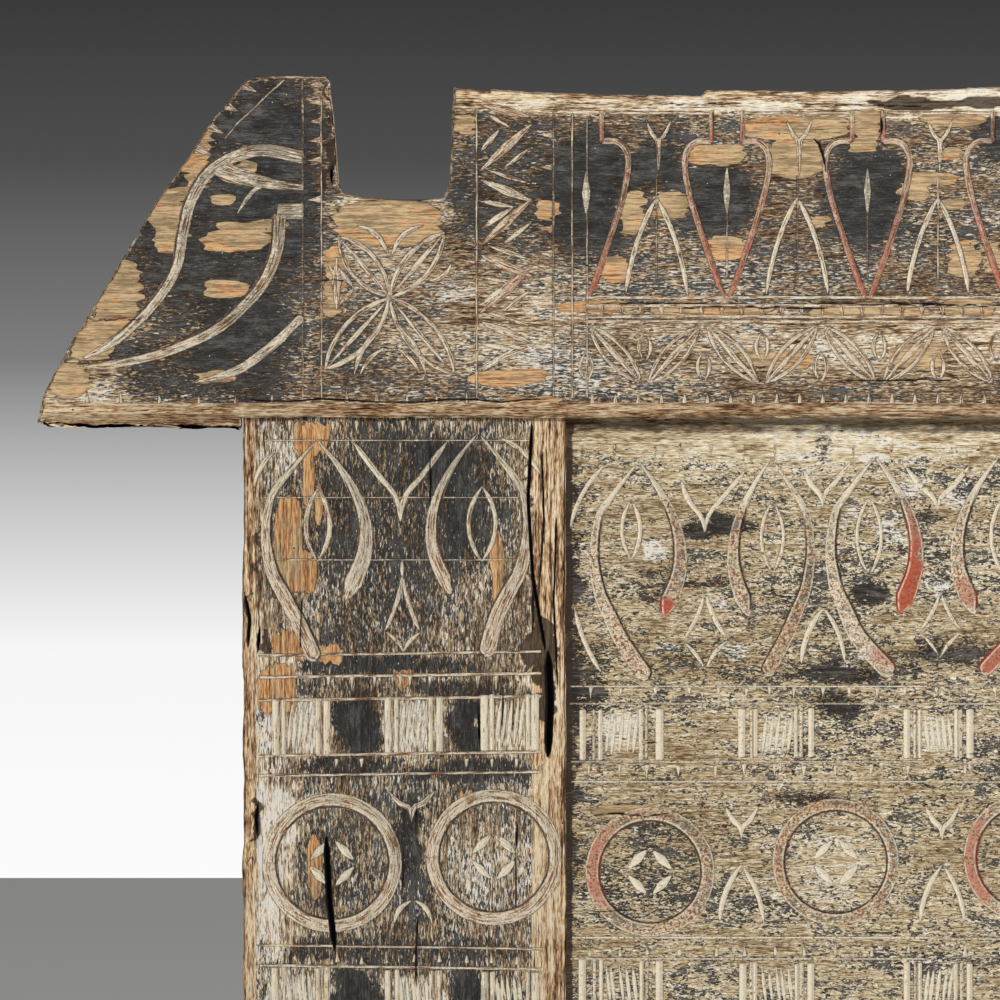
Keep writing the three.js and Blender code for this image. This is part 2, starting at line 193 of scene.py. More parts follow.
def lotus(x, apex, spread, long_side, crossing=0.2, red=0.0, pale=0.7, tip=4.0, foot=(20.0, 20.0), low=1.0):
    """A lotus bud from two crescents, steep inside: a long arm on the side given and a short arm."""
    long = [(0.03, 0), (0.32, 16), (0.67, 36), (0.88, 51), (0.98, 74), (1.0, 96), (0.87, 128), (0.66, 148),
            (0.35, 176), (-crossing, 208)]
    short = [(-0.06, -2), (-0.45, 21), (-0.7, 40), (-0.9, 61), (-1.0, 81), (-1.01, 101), (-0.93, 118),
             (-0.76, 137), (-0.62, 154)]

    def place(points):
        return [(x + long_side * share * spread, apex - drop * low) for share, drop in points]

    look = {"depth": 4.0, "start": 0.3, "pale": pale, "red": red, "run": 60}
    return [
        Stroke(curve(place(long), 24), tip, end_width=foot[0], lean=-0.62 * long_side, end=0.85, **look),
        Stroke(curve(place(short), 18), tip, end_width=foot[1], lean=0.62 * long_side, end=0.1, end_run=18,
               **look),
    ]


def almond(x, top, bottom, half, **change):
    return [fine_cut(bow((x, top), (x, bottom), b), **{"width": 3.4, **change}) for b in (half, -half)]


def star(x, top, waist, bottom, half, **change):
    look = {"width": 3.4, **change}
    return [fine_cut(bow(a, (x + side, waist), b * math.copysign(1, side), 5), **look)
            for side in (-half, half) for a, b in (((x, top), -3), ((x, bottom), 2.5))]


def sprig(x, top, fork, foot, reach, tilt=0.0, **change):
    """Two arms that spring apart from the top of a short stem. Tilt makes the second arm longer."""
    return [fine_cut(curve([(x, foot), (x + side * 0.1, fork), (x + side * 0.5, (top + fork) / 2 - 4),
                            (x + side * (1 + lift), top + 14 * lift)], 10), **{"end_width": 5.5, **change})
            for side, lift in ((-reach, -tilt), (reach, tilt))]


def rafter(x, apex, foot, reach, **change):
    return [fine_cut(bow((x, apex), (x + side * reach, foot), side * 5), **{"width": 5.0, **change})
            for side in (-1, 1)]


def square(x, top, bottom, outer, inner, red=0.2, strokes=5):
    """A square field of slanting scratches between double bars."""
    cuts = []
    for side in (-1, 1):
        for at, width, depth, pale, hue in ((outer - 3.5, 7, 2.8, 1.0, 0), (inner + 6, 3, 2.4, 0.3, red),
                                            (inner + 1, 4, 2.2, 0.9, red * 0.5)):
            cuts.append(Stroke([(x + side * at, top), (x + side * at, bottom)], width, depth, start=1, end=1,
                               pale=pale, red=hue))
    for i in range(strokes):
        a = x - inner + 3 + i * (2 * inner - 8) / (strokes - 0.5)
        cuts.append(Stroke([(a, top - 3), (a + 5, bottom + 3)], 3.6, 0.9, pale=0.9, red=red * 0.6))
    return cuts


def ring(x, z, outer, inner, red=0.4, pale=0.6):
    middle, width = (outer + inner) / 2, outer - inner
    path = [(x + middle * math.cos(a), z + middle * math.sin(a)) for a in np.linspace(0, 2 * math.pi, 57)]
    return [Stroke(path, width, 3.4, start=1, end=1, lean=0.5, red=red, pale=pale)]


def quatrefoil(x, z, near=13, far=24, **change):
    """Four small leaves set as the sides of a diamond."""
    look = {"width": 8.0, "depth": 1.8, "pale": 0.75, **change}
    return [Stroke([(x + a * near * 0.25, z + b * far * 0.92), (x + a * far * 0.92, z + b * near * 0.25)], **look)
            for a in (-1, 1) for b in (-1, 1)]


def lens(start, end, width, **change):
    """One cut that is widest at its middle and runs out to a point at both ends."""
    length = math.hypot(end[0] - start[0], end[1] - start[1])
    look = {"depth": 2.8, "run": length * 0.5, "pale": 0.7, **change}
    return Stroke([start, end], width, **look)


def leaf(start, end, half, rib=5.0, width=3.4, **change):
    """Two bowed sides with a cut along the middle."""
    sides = [fine_cut(bow(start, end, b), width=width, **change) for b in (half, -half)]
    return [*sides, lens(start, end, rib, **change)]


# Layout of the carving. Places are distances from the middle of the panel, and heights.

VEE_PITCH = 140.4
BAND_REACH = 2.5 * VEE_PITCH


def vee_side(x, side):
    """One side of a hanging vee: the stem, then the shoulder and the run down to the tip."""
    stem = [(15.5, 148), (15.5, 118)]
    run = [(16, 118), (29, 118), (38, 112), (42, 100), (41, 84), (36, 60), (28, 34), (18, 4), (8, -24), (2, -38)]
    look = {"start": 1, "red": 0.75, "pale": 0.55, "lean": -0.3 * side}
    return [
        Stroke([(x + side * dx, z) for dx, z in stem], 4.2, 2.6, end=1, **look),
        Stroke(curve([(x + side * dx, z) for dx, z in run], 30), 5.8, 3.2, end=0.4, run=14, **look),
    ]


def vee_band():
    cuts = []
    for n in (-1.5, -0.5, 0.5, 1.5):
        x = n * VEE_PITCH
        cuts += [*vee_side(x, -1), *vee_side(x, 1), lens((x, 92), (x, 44), 7, pale=1.0)]
        cuts.append(ruled((x, 44), (x, -20), width=1.2, depth=0.6))
    for n in (-2, -1, 0, 1, 2):
        x = n * VEE_PITCH
        cuts += rafter(x, 62, -36, 31, width=4.4, pale=0.9, red=0.15)
        cuts += sprig(x + 2, 140, 118, 84, 13, width=2.4, end_width=4)
        cuts.append(ruled((x, 84), (x, -20), width=1.2, depth=0.6))
        cuts.append(ruled((x - VEE_PITCH / 2 + 16, 146), (x + VEE_PITCH / 2 - 16, 146), width=2.6))
    cuts += [*vee_side(-BAND_REACH, 1), *vee_side(BAND_REACH, -1)]
    cuts += [lens((x, 88), (x, 44), 8, pale=1.0) for x in (-BAND_REACH, BAND_REACH)]
    return cuts


def leaf_zigzag():
    cuts = []
    for z in (-38, -46, -57, -62):
        cuts.append(ruled((-BAND_REACH, z), (BAND_REACH, z), width=2.8))
    for i in range(-17, 18):
        cuts += ticks([i * 20 + 4], -47, 9, width=6, end=0.6, red=0.3, pale=0.3)
    leaves, high, low = 12, -66, -124
    step = 2 * BAND_REACH / leaves
    for i in range(leaves):
        x = i * step - BAND_REACH
        a, b = ((x + 3, high), (x + step - 3, low)) if i % 2 == 0 else ((x + 3, low), (x + step - 3, high))
        cuts += leaf(a, b, 10, 6, red=0.35)
    for i in range(leaves // 2 + 1):
        x = (2 * i) * step - BAND_REACH
        cuts += almond(x + step, -72, -102, 6)
        cuts += almond(x, -92, -122, 6)
    cuts += ticks([i * 23 - 345 for i in range(31)], -143, -13, width=4.5)
    return cuts


def horn_carving():
    """One horn and the leaves beside it."""
    scroll = [(634, 103), (672, 110), (697, 105), (715, 97), (732, 83), (747, 55), (755, 20), (759, -5),
              (772, -30), (797, -60), (827, -85), (852, -98)]
    inner = [(657, 45), (660, 10), (672, -20), (692, -45), (722, -70), (767, -90), (817, -103), (852, -107)]
    cuts = [
        Stroke(curve(scroll, 40), 15, 3.6, end_width=9, start=1, end=0.2, lean=0.35, pale=0.75, run=40),
        Stroke(curve(inner, 34), 13, 3.4, end_width=8, start=1, end=0.2, lean=0.35, pale=0.75, run=40),
        Stroke([(634, 48), (659, 48)], 14, 3.0, start=1, end=1, pale=0.7),
        Stroke(curve([(637, -60), (657, -80), (682, -100), (702, -112), (742, -123)], 14), 8, 3.0, start=0.9,
               pale=0.8, run=45),
        Stroke(curve([(634, 72), (665, 76), (700, 84), (722, 92)], 10), 5, 2.6, end_width=19, start=1,
               end=0.4, pale=0.7, run=14),
        Stroke(curve([(661, 78), (677, 72), (688, 62), (699, 45)], 10), 4, 2.0, pale=0.8),
    ]
    heart = (547, -38)
    for tip, half in (((599, 23), 14), ((492, 27), 13), ((612, -110), 15), ((482, -116), 15)):
        cuts += leaf(heart, tip, half, 5, width=4.2, depth=2.8)
    for side in (-1, 1):
        cuts.append(fine_cut(bow((heart[0] + side * 3, -60), (heart[0] + side * 36, -116), side * 6)))
        cuts.append(fine_cut(bow((heart[0] + side * 5, -88), (heart[0] + side * 30, -116), side * 4)))
        cuts.append(fine_cut(bow((heart[0] + side * 2, 2), (heart[0] + side * 34, 34), side * 8)))
        cuts.append(fine_cut(bow((heart[0] + side * 36, -22), (heart[0] + side * 62, -2), -side * 6)))
    cuts += [lens((600, 2), (600, -50), 9, pale=0.5), lens((598, -8), (583, -28), 5), lens((583, -28), (598, -46), 5)]
    outer, column = 457, 404
    for z in (92, 17, -50):
        cuts += [lens((outer, z - 4), (column, z + 44), 10, red=0.45, pale=0.5)]
        cuts += [lens((outer, z - 12), (column, z - 34), 9.5, red=0.3, pale=0.6)]
        cuts += [lens((434, z - 2), (406, z + 20), 4.5), lens((452, z - 2), (406, z - 17), 4.5)]
        cuts += [lens((outer, z - 34), (422, z - 40), 5), lens((424, z - 40), (outer, z - 62), 6)]
    cuts += [lens((outer, 108), (438, 130), 6), lens((outer, 155), (406, 142), 8, red=0.5, pale=0.4)]
    cuts += [lens((outer - 6, 146), (426, 132), 5), lens((outer, -108), (410, -88), 6)]
    for x, top in ((634, 180), (615, 180), (460, 150), (384, 146), (365, 146), (350, 140)):
        cuts.append(ruled((x, top), (x, -138), width=1.6, depth=0.9, pale=0.6))
    cuts += ticks([849, 815, 777, 737, 700, 664, 590, 560, 530, 500, 470], -143, -13, width=4)
    for z in (175, 157, 138, 119, 100, 60):
        cuts.append(Stroke([(616, z), (631, z - 1)], 7, 1.6, end_width=1, start=1, pale=0.4, run=16))
    for x, z in ((695, 175), (712, 155), (727, 133), (740, 112)):
        cuts.append(Stroke([(x, z), (x - 19, z - 10)], 11, 2.6, end_width=1, start=1, pale=0.5, run=20))
    for z in (124, 92, 30, 6, -20):
        cuts.append(Stroke([(386, z), (402, z + 1)], 7, 1.4, end_width=1, start=1, pale=0.4, run=16))
    cuts.append(ruled((652, 180), (700, 135), width=1.6, depth=0.9))
    cuts.append(ruled((700, 135), (712, 120), width=1.6, depth=0.9))
    return cuts


def stile_rows():
    """The rows above the rings of a stile."""
    cuts = [
        *lotus(622, -183, 49, 1, crossing=-0.05, red=0.15, pale=0.8, low=1.01),
        *lotus(457, -176, 47, -1, crossing=-0.15, red=0.3, pale=0.8, low=1.02),
        *almond(619.5, -228, -302, 12, width=4.4), *almond(455, -226, -302, 14, width=4),
        *star(534, -315, -372, -392, 18, width=4), *sprig(537, -182, -237, -262, 47, pale=0.9, width=4.6),
        fine_cut([(535, -300), (535, -318)]),
        fine_cut(bow((662, -190), (684, -228), 4)), fine_cut(bow((437, -178), (396, -216), -5)),
    ]
    near, far = STILE_INNER + 26, STILE_OUTER - 18
    for z in (-180, -237, -300):
        cuts.append(ruled((near + 10, z), (far - 5, z), width=1.2, depth=0.7, pale=0.5))
    for z in (-393, -415, -438, -494, -514):
        cuts.append(ruled((near, z + 2), (far, z - 2)))
    cuts += ticks([664, 647, 604, 580, 557, 534, 512, 496, 485, 462], -161, 14)
    cuts += ticks([609, 585, 562, 537, 527, 507, 459, 440], -416, 15)
    cuts += ticks([650, 628, 600, 575, 550, 522, 498, 470, 445, 420], -499, 12)
    for x, lift, outer, inner in ((636.5, -1, 29, 16), (523.5, 2, 29, 16), (427, 4, 29, 17)):
        cuts += square(x, -439 + lift, -494 + lift, outer, inner, red=0.15)
    return cuts


def stile_carving(seed):
    rows = stile_rows()
    cuts = [*rows, *by_hand(across_height(rows), seed + 1)]
    for x, z, outer, inner in ((605, -603, 70, 55), (443, -597, 68, 54)):
        cuts += ring(x, z, outer, inner, red=0.25, pale=0.75)
        cuts += quatrefoil(x, z)
    cuts += sprig(525, -531, -548, -562, 23, width=5) + rafter(524, -640, -664, 19)
    return by_hand(cuts, seed, 0.5)


def panel_rows():
    """The rows above the rings on one half of the centre panel."""
    cuts = [
        *lotus(300.5, -204, 43, 1, crossing=0.15, red=1), *lotus(163.5, -201, 38, -1, crossing=0.1, red=1),
        *lotus(64, -200, 42, 1, crossing=0.33, red=1),
        *almond(305, -240, -300, 9), *almond(163, -240, -312, 11), *almond(67, -237, -315, 12),
        *star(231, -334, -381, -410, 22, width=4), *sprig(232, -215, -256, -272, 32, -0.25),
        *sprig(114, -205, -234, -248, 24, -0.18),
        *rafter(114, -348, -405, 22, pale=0.95),
        fine_cut(bow((362, -348), (334, -415), 4), width=5), fine_cut(bow((366, -270), (331, -205), -6)),
        *square(316, -450, -500, 42, 20, red=0.5), *square(160, -450, -498, 38, 19, red=0.6),
    ]
    cuts += ticks([355, 323, 282, 257, 224, 193, 161, 113, 84, 45], -185, 14, width=2, pale=0)
    cuts += ticks([345, 315, 281, 247, 217, 189, 167, 142, 114, 88, 59, 31], -428, 12)
    cuts += ticks([347, 318, 289, 257, 221, 192, 162, 132, 100, 65, 29], -506, 14)
    for z in (-426, -444, -503, -523):
        cuts.append(ruled((8, z), (366, z), width=1.6, depth=0.8, pale=0.4))
    return cuts


def panel_carving(seed):
    half = panel_rows()
    middle = [*star(4, -331, -372, -399, 22), *sprig(1, -206, -238, -251, 32), *square(2, -450, -498, 35, 17)]
    rows = [*half, *by_hand(across_middle(half), seed + 1), *middle, *ticks([0], -428, 12)]
    cuts = [*rows, *by_hand(across_height(rows), seed + 2)]
    for x, z, outer, inner in ((-287, -613, 65, 50), (-100.5, -603, 63.5, 50.5), (92, -598, 65, 51),
                               (283, -604, 65, 50)):
        cuts += ring(x, z, outer, inner, red=0.9, pale=0.6)
        cuts += quatrefoil(x, z)
    for x in (-195, 6, 190):
        cuts += sprig(x, -547, -568, -582, 17) + rafter(x, -606, -664, 22, pale=1.0)
    return by_hand(cuts, seed, 0.4)


# Fields over a board's face

class Grain:
    """Smooth seeded noise over a plane, between 0 and 1."""

    def __init__(self, seed):
        self.table = np.random.default_rng(seed).random((256, 256))

    def __call__(self, x, z, size_x, size_z):
        u, v = x / size_x, z / size_z
        iu, iv = np.floor(u).astype(int), np.floor(v).astype(int)
        fu, fv = u - iu, v - iv
        fu, fv = fu * fu * (3 - 2 * fu), fv * fv * (3 - 2 * fv)

        def at(a, b):
            return self.table[a & 255, b & 255]

        low = at(iu, iv) * (1 - fu) + at(iu + 1, iv) * fu
        high = at(iu, iv + 1) * (1 - fu) + at(iu + 1, iv + 1) * fu
        return low * (1 - fv) + high * fv

    def layered(self, x, z, size_x, size_z, layers=4):
        total, weight, share = 0.0, 0.0, 1.0
        for i in range(layers):
            total = total + share * self(x + 17.3 * i, z + 9.1 * i, size_x, size_z)
            weight += share
            share *= 0.5
            size_x, size_z = size_x / 2, size_z / 2
        return total / weight


def smooth(value, low, high):
    t = np.clip((value - low) / (high - low), 0, 1)
    return t * t * (3 - 2 * t)


class Carving:
    """Distance to the nearest cut, depth and colour of the cuts at given points of a face."""

    REACH = 9.0

    def __init__(self, x, z, strokes):
        self.order = np.argsort(x)
        self.x, self.z = x[self.order], z[self.order]
        count = len(x)
        self.edge = np.full(count, self.REACH)
        self.depth = np.zeros(count)
        self.red = np.zeros(count)
        self.pale = np.zeros(count)
        self.lip = np.full(count, self.REACH)
        self.broad = np.zeros(count)
        self.along = np.zeros(count)
        self.across = np.zeros(count)
        for self.count, stroke in enumerate(strokes):
            self.add(stroke)
        back = np.empty(count, int)
        back[self.order] = np.arange(count)
        for name in ("edge", "depth", "red", "pale", "lip", "broad", "along", "across"):
            setattr(self, name, getattr(self, name)[back])

    def add(self, stroke):
        path = np.array(stroke.path)
        margin = max(stroke.width, stroke.end_width) / 2 + self.REACH
        low, high = path.min(0) - margin, path.max(0) + margin
        first, last = np.searchsorted(self.x, [low[0], high[0]])
        if first == last:
            return
        z = self.z[first:last]
        near = np.nonzero((z > low[1]) & (z < high[1]))[0] + first
        if not len(near):
            return
        x, z = self.x[near], self.z[near]
        far = np.concatenate([[0], np.cumsum(np.hypot(*np.diff(path, axis=0).T))])
        best = np.full(len(near), 1e9)
        across, along, past = (np.zeros(len(near)) for _ in range(3))
        last = len(path) - 2
        for k in range(last + 1):
            (ax, az), (bx, bz) = path[k], path[k + 1]
            dx, dz = bx - ax, bz - az
            length = math.hypot(dx, dz)
            run = ((x - ax) * dx + (z - az) * dz) / length
            aside = (dx * (z - az) - dz * (x - ax)) / length
            before = -run if stroke.start == 1 and k == 0 else 0 * run
            after = run - length if stroke.end == 1 and k == last else 0 * run
            over = np.maximum(np.maximum(before, after), 0)
            run = np.clip(run, 0, length)
            away = np.hypot(x - ax - run * dx / length, z - az - run * dz / length)
            closer = away < best
            best[closer] = away[closer]
            across[closer] = np.where(over > 0, aside, np.copysign(away, aside))[closer]
            along[closer] = far[k] + run[closer]
            past[closer] = over[closer]
        run = stroke.run or min(0.45 * far[-1], 16.0)
        end_run = stroke.end_run or run
        full = np.ones(len(near))
        if stroke.start < 1:
            full = np.minimum(full, stroke.start + (1 - stroke.start) * np.clip(along / run, 0, 1) ** 0.7)
        if stroke.end < 1:
            left = np.clip((far[-1] - along) / end_run, 0, 1)
            full = np.minimum(full, stroke.end + (1 - stroke.end) * left ** 0.7)
        share = along / far[-1]
        half = np.maximum(full * (stroke.width + (stroke.end_width - stroke.width) * share) / 2, 0.05)
        edge = np.maximum(np.abs(across) - half, np.where(past > 0, past, -half))
        full = np.where(past > 0, full * np.clip(1 - past, 0, 1), full)
        q = np.clip(across / half, -1, 1)
        slope = np.where(q < stroke.lean, (1 + q) / (1 + stroke.lean), (1 - q) / (1 - stroke.lean))
        cut = stroke.depth * full * np.clip(slope * 1.25, 0, 1) ** 0.9
        nearer = edge < self.edge[near]
        chosen = near[nearer]
        self.edge[chosen] = edge[nearer]
        self.red[chosen] = stroke.red * (0.35 + 0.65 * share[nearer])
        self.pale[chosen] = stroke.pale
        steep = np.abs(across) if stroke.lean == 0 else across * np.sign(stroke.lean)
        self.lip[chosen] = (half - steep)[nearer]
        self.broad[chosen] = smooth(half, 3.0, 5.0)[nearer] * (stroke.lean != 0)
        self.along[chosen] = along[nearer] + 37 * (self.count % 50)
        self.across[chosen] = across[nearer]
        self.depth[near] = np.maximum(self.depth[near], cut)


def patches(x, z, places, grain, warp=5.0, stretch=(26.0, 9.0)):
    """How far inside one of some frayed patches each point is: 1 in the middle, 0 at the rim."""
    upright = stretch[1] > stretch[0]
    long, short = stretch if not upright else stretch[::-1]
    frayed = (long * 2, 2.6) if not upright else (2.6, long * 2)
    along = (grain.layered(x, z, *frayed, 3) - 0.5) * warp * 4
    aside = (grain.layered(x + 300, z - 200, *stretch) - 0.5) * warp * 1.6
    wx, wz = (aside, along) if upright else (along, aside)
    inside = np.full(len(x), -1.0)
    for cx, cz, rx, rz in places:
        away = (np.abs((x + wx - cx) / rx) ** 3.2 + np.abs((z + wz - cz) / rz) ** 3.2) ** (1 / 3.2)
        inside = np.maximum(inside, np.clip(1 - away, -1, 1))
    return inside


def near_outline(x, z, outline):
    """Distance to a closed outline, the nearest point on it and its inward direction, for each point."""
    best = np.full(len(x), 1e9)
    px, pz, nx, nz = (np.zeros(len(x)) for _ in range(4))
    points = outline + [outline[0]]
    turn = math.copysign(1, sum(ax * bz - bx * az for (ax, az), (bx, bz) in zip(points, points[1:])))
    for (ax, az), (bx, bz) in zip(points, points[1:]):
        dx, dz = bx - ax, bz - az
        length = math.hypot(dx, dz)
        if length < 1e-6:
            continue
        t = np.clip(((x - ax) * dx + (z - az) * dz) / length ** 2, 0, 1)
        qx, qz = ax + t * dx, az + t * dz
        away = np.hypot(x - qx, z - qz)
        closer = away < best
        best[closer] = away[closer]
        px[closer], pz[closer] = qx[closer], qz[closer]
        nx[closer], nz[closer] = -turn * dz / length, turn * dx / length
    return best, px, pz, nx, nz


def inside_outline(x, z, outline):
    within = np.zeros(len(x), bool)
    points = outline + [outline[0]]
    for (ax, az), (bx, bz) in zip(points, points[1:]):
        if az != bz:
            crosses = (az > z) != (bz > z)
            within ^= crosses & (x < (bx - ax) * (z - az) / (bz - az) + ax)
    return within


# Board meshes

WALL_LOOPS = (2.5, 7.0, 14.0)
LEVELS = 3

# How far the front's paint, dirt and painted shade reach over an edge, and what the sides and the back hold past that
PAINT_REACH = (1.0, 7.0)
PLAIN_WOOD = {"cut": Carving.REACH, "lip": Carving.REACH, "split": Carving.REACH, "red": 0.0, "pale": 0.0,
              "broad": 0.0, "bare": -1.0, "paint": -0.3, "chalk": -0.15, "raw": 0.0, "grime": 0.0}


def split_at(bm, place, normal):
    """Cuts every face that a plane crosses."""
    bmesh.ops.bisect_plane(bm, geom=bm.verts[:] + bm.edges[:] + bm.faces[:], dist=1e-4,
                           plane_co=place, plane_no=normal)


class Board:
    """A board's outline, thickness and carving, and the steps that make a mesh of them."""

    name = ""
    front = 25.0
    cell = 12.0
    corner = 2.5
    seed = 1

    def __init__(self):
        self.outline = self.draw_outline()
        self.strokes = self.draw_carving()
        self.cracks = self.draw_cracks()
        self.grain = Grain(self.seed)

    def draw_cracks(self):
        return []

    def seen(self, x, z):
        """Where the photograph shows the board."""
        return (x < FINE_RIGHT) & (z > FINE_FOOT)

    def sheet(self):
        xs, zs = [p[0] for p in self.outline], [p[1] for p in self.outline]
        width, height = max(xs) - min(xs), max(zs) - min(zs)
        middle = ((max(xs) + min(xs)) / 2, -self.front, (max(zs) + min(zs)) / 2)
        place = Matrix.Translation(middle) @ Matrix.Rotation(math.pi / 2, 4, "X")
        bm = bmesh.new()
        bmesh.ops.create_grid(bm, x_segments=round(width / self.cell), y_segments=round(height / self.cell),
                              size=0.5, matrix=place @ Matrix.Diagonal((width, height, 1, 1)))
        centres = np.array([f.calc_center_median() for f in bm.faces])
        within = inside_outline(centres[:, 0], centres[:, 2], self.outline)
        outside = [f for f, keep in zip(bm.faces[:], within) if not keep]
        bmesh.ops.delete(bm, geom=outside, context="FACES")
        rim = [v for v in bm.verts if v.is_boundary]
        self.snap(rim)
        self.pin_corners(rim)
        return bm

    def snap(self, rim):
        """Moves vertices of the rim onto the outline."""
        at = np.array([v.co for v in rim])
        _, px, pz, _, _ = near_outline(at[:, 0], at[:, 2], self.outline)
        for v, x, z in zip(rim, px, pz):
            v.co.x, v.co.z = x, z

    def pin_corners(self, rim):
        """Puts the nearest rim vertex exactly on each sharp corner of the outline."""
        taken = set()
        count = len(self.outline)
        for i, (x, z) in enumerate(self.outline):
            (ax, az), (bx, bz) = self.outline[i - 1], self.outline[(i + 1) % count]
            turn = abs((x - ax) * (bz - z) - (z - az) * (bx - x))
            if turn < 0.3 * math.hypot(x - ax, z - az) * math.hypot(bx - x, bz - z):
                continue
            free = [v for v in rim if v not in taken]
            nearest = min(free, key=lambda v: (v.co.x - x) ** 2 + (v.co.z - z) ** 2)
            if math.hypot(nearest.co.x - x, nearest.co.z - z) < self.cell:
                nearest.co.x, nearest.co.z = x, z
                taken.add(nearest)

    def slab(self):
        bm = self.sheet()
        made = bmesh.ops.extrude_face_region(bm, geom=bm.faces[:])
        back = [g for g in made["geom"] if isinstance(g, bmesh.types.BMVert)]
        bmesh.ops.translate(bm, vec=(0, self.front, 0), verts=back)
        for depth in WALL_LOOPS:
            split_at(bm, (0, depth - self.front, 0), (0, 1, 0))
        self.prepare(bm)
        return bm

    def prepare(self, bm):
        """Extra loops where the board has a housing or a tongue."""

    def fineness(self, x, y, z, cell):
        """How many times a face that holds each point is halved."""
        seen = self.seen(x, z)
        level = np.where(seen, 2, 1)
        carving = Carving(x, z, self.strokes + self.cracks)
        level = level + (carving.edge < 0.5 * cell + 0.8)
        away = near_outline(x, z, self.outline)[0]
        level = np.where(seen & (away < 0.5 * cell + 2), 3, level)
        return np.where(y > -self.front + 10, 0, level)

    def refined(self):
        bm = self.slab()
        cell = self.cell
        for step in range(1, LEVELS + 1):
            bm.normal_update()
            faces = bm.faces[:]
            centres = np.array([f.calc_center_median() for f in faces])
            level = self.fineness(*centres.T, cell)
            edges = set()
            for face, wanted in zip(faces, level):
                if wanted >= step:
                    flat = abs(face.normal.y) > 0.5
                    edges.update(e for e in face.edges if flat or e.calc_length() > cell * 0.7)
            bmesh.ops.subdivide_edges(bm, edges=list(edges), cuts=1, use_grid_fill=True)
            bm.normal_update()
            self.snap([v for v in bm.verts if any(abs(f.normal.y) < 0.5 for f in v.link_faces)])
            cell /= 2
        self.house(bm)
        bmesh.ops.remove_doubles(bm, verts=bm.verts[:], dist=0.01)
        bmesh.ops.triangulate(bm, faces=[f for f in bm.faces if len(f.verts) > 4])
        bmesh.ops.recalc_face_normals(bm, faces=bm.faces[:])
        return bm

    def house(self, bm):
        """Moves vertices to form a housing or a tongue."""

    def section(self, x, y, z):
        """Moves points back where the board's own section is rounded."""
        return y

    def ragged(self, x, y, z, away):
        """How far the outline is worn in at each point."""
        return self.grain.layered(x + y, z + 2 * y, 14, 14) * 2.4

    def build(self):
        bm = self.refined()
        mesh = bpy.data.meshes.new(self.name)
        bm.to_mesh(mesh)
        bm.free()
        at = np.empty(len(mesh.vertices) * 3)
        mesh.vertices.foreach_get("co", at)
        at = at.reshape(-1, 3)
        x, y, z = at[:, 0].copy(), at[:, 1].copy(), at[:, 2].copy()
        away, _, _, nx, nz = near_outline(x, z, self.outline)
        carving = Carving(x, z, self.strokes)
        splits = Carving(x, z, self.cracks)
        fields = {"cut": carving.edge, "red": carving.red, "pale": carving.pale, "lip": carving.lip,
                  "broad": carving.broad, "along": carving.along, "across": carving.across,
                  "split": splits.edge, "rim": np.minimum(away, 60)}
        wear = self.face_relief(x, z, away, fields)
        depth = np.maximum(carving.depth + wear, splits.depth + 0.4 * wear)
        corner = np.clip(1 - away / self.corner, 0, 1)
        depth = depth + self.corner * (1 - np.sqrt(1 - corner ** 2))
        depth = np.clip(depth, 0.02, self.front * 0.6)
        on_front = self.on_front(x, y, z)
        at[:, 1] = self.section(x, np.where(on_front, y + depth, y), z)
        pull = self.ragged(x, y, z, away) * np.exp(-away / 8.0)
        at[:, 0] += nx * pull
        at[:, 2] += nz * pull
        behind = smooth(y + self.front, *PAINT_REACH)
        for name, plain in PLAIN_WOOD.items():
            fields[name] = fields[name] * (1 - behind) + plain * behind
        for name, values in fields.items():
            layer = mesh.attributes.new(name, "FLOAT", "POINT")
            layer.data.foreach_set("value", values.astype(np.float32))
        mesh.vertices.foreach_set("co", (at * MM).ravel())
        mesh.update()
        shade(mesh)
        piece = bpy.data.objects.new(self.name + "_carved", mesh)
        bpy.context.collection.objects.link(piece)
        print(self.name, "triangles", sum(len(p.vertices) - 2 for p in mesh.polygons))
        return piece

    def on_front(self, x, y, z):
        return y < -self.front + 0.01


def shade(mesh):
    """Smooth shading with the corners kept sharp."""
    bm = bmesh.new()
    bm.from_mesh(mesh)
    for face in bm.faces:
        face.smooth = True
    for edge in bm.edges:
        edge.smooth = edge.calc_face_angle(0) < math.radians(50)
    bm.to_mesh(mesh)
    bm.free()


# Wear. Places on the left half are read as they stand; those past the middle are turned over for the right.

def both_sides(places, seed):
    """The places, and the same ones moved a little on the far side, as its wear isn't known."""
    rng = random.Random(seed)
    far = []
    for x, z, rx, rz, *rest in places:
        if x < -2 * FINE_RIGHT:
            far.append((-x + rng.uniform(-30, 30), z + rng.uniform(-14, 14),
                        rx * rng.uniform(0.7, 1.2), rz * rng.uniform(0.7, 1.3), *rest))
    return [*places, *far]


def toned(x, z, base, places, grain):
    """An amount over the face that is raised or lowered within soft ellipses."""
    amount = np.full(len(x), float(base))
    wx = (grain.layered(x + 90, z, 40, 14) - 0.5) * 30
    wz = (grain.layered(x, z + 70, 40, 14) - 0.5) * 16
    for cx, cz, rx, rz, change in places:
        away = np.sqrt(((x + wx - cx) / rx) ** 2 + ((z + wz - cz) / rz) ** 2)
        amount += change * (1 - smooth(away, 0.6, 1.3))
    return amount


# Top board

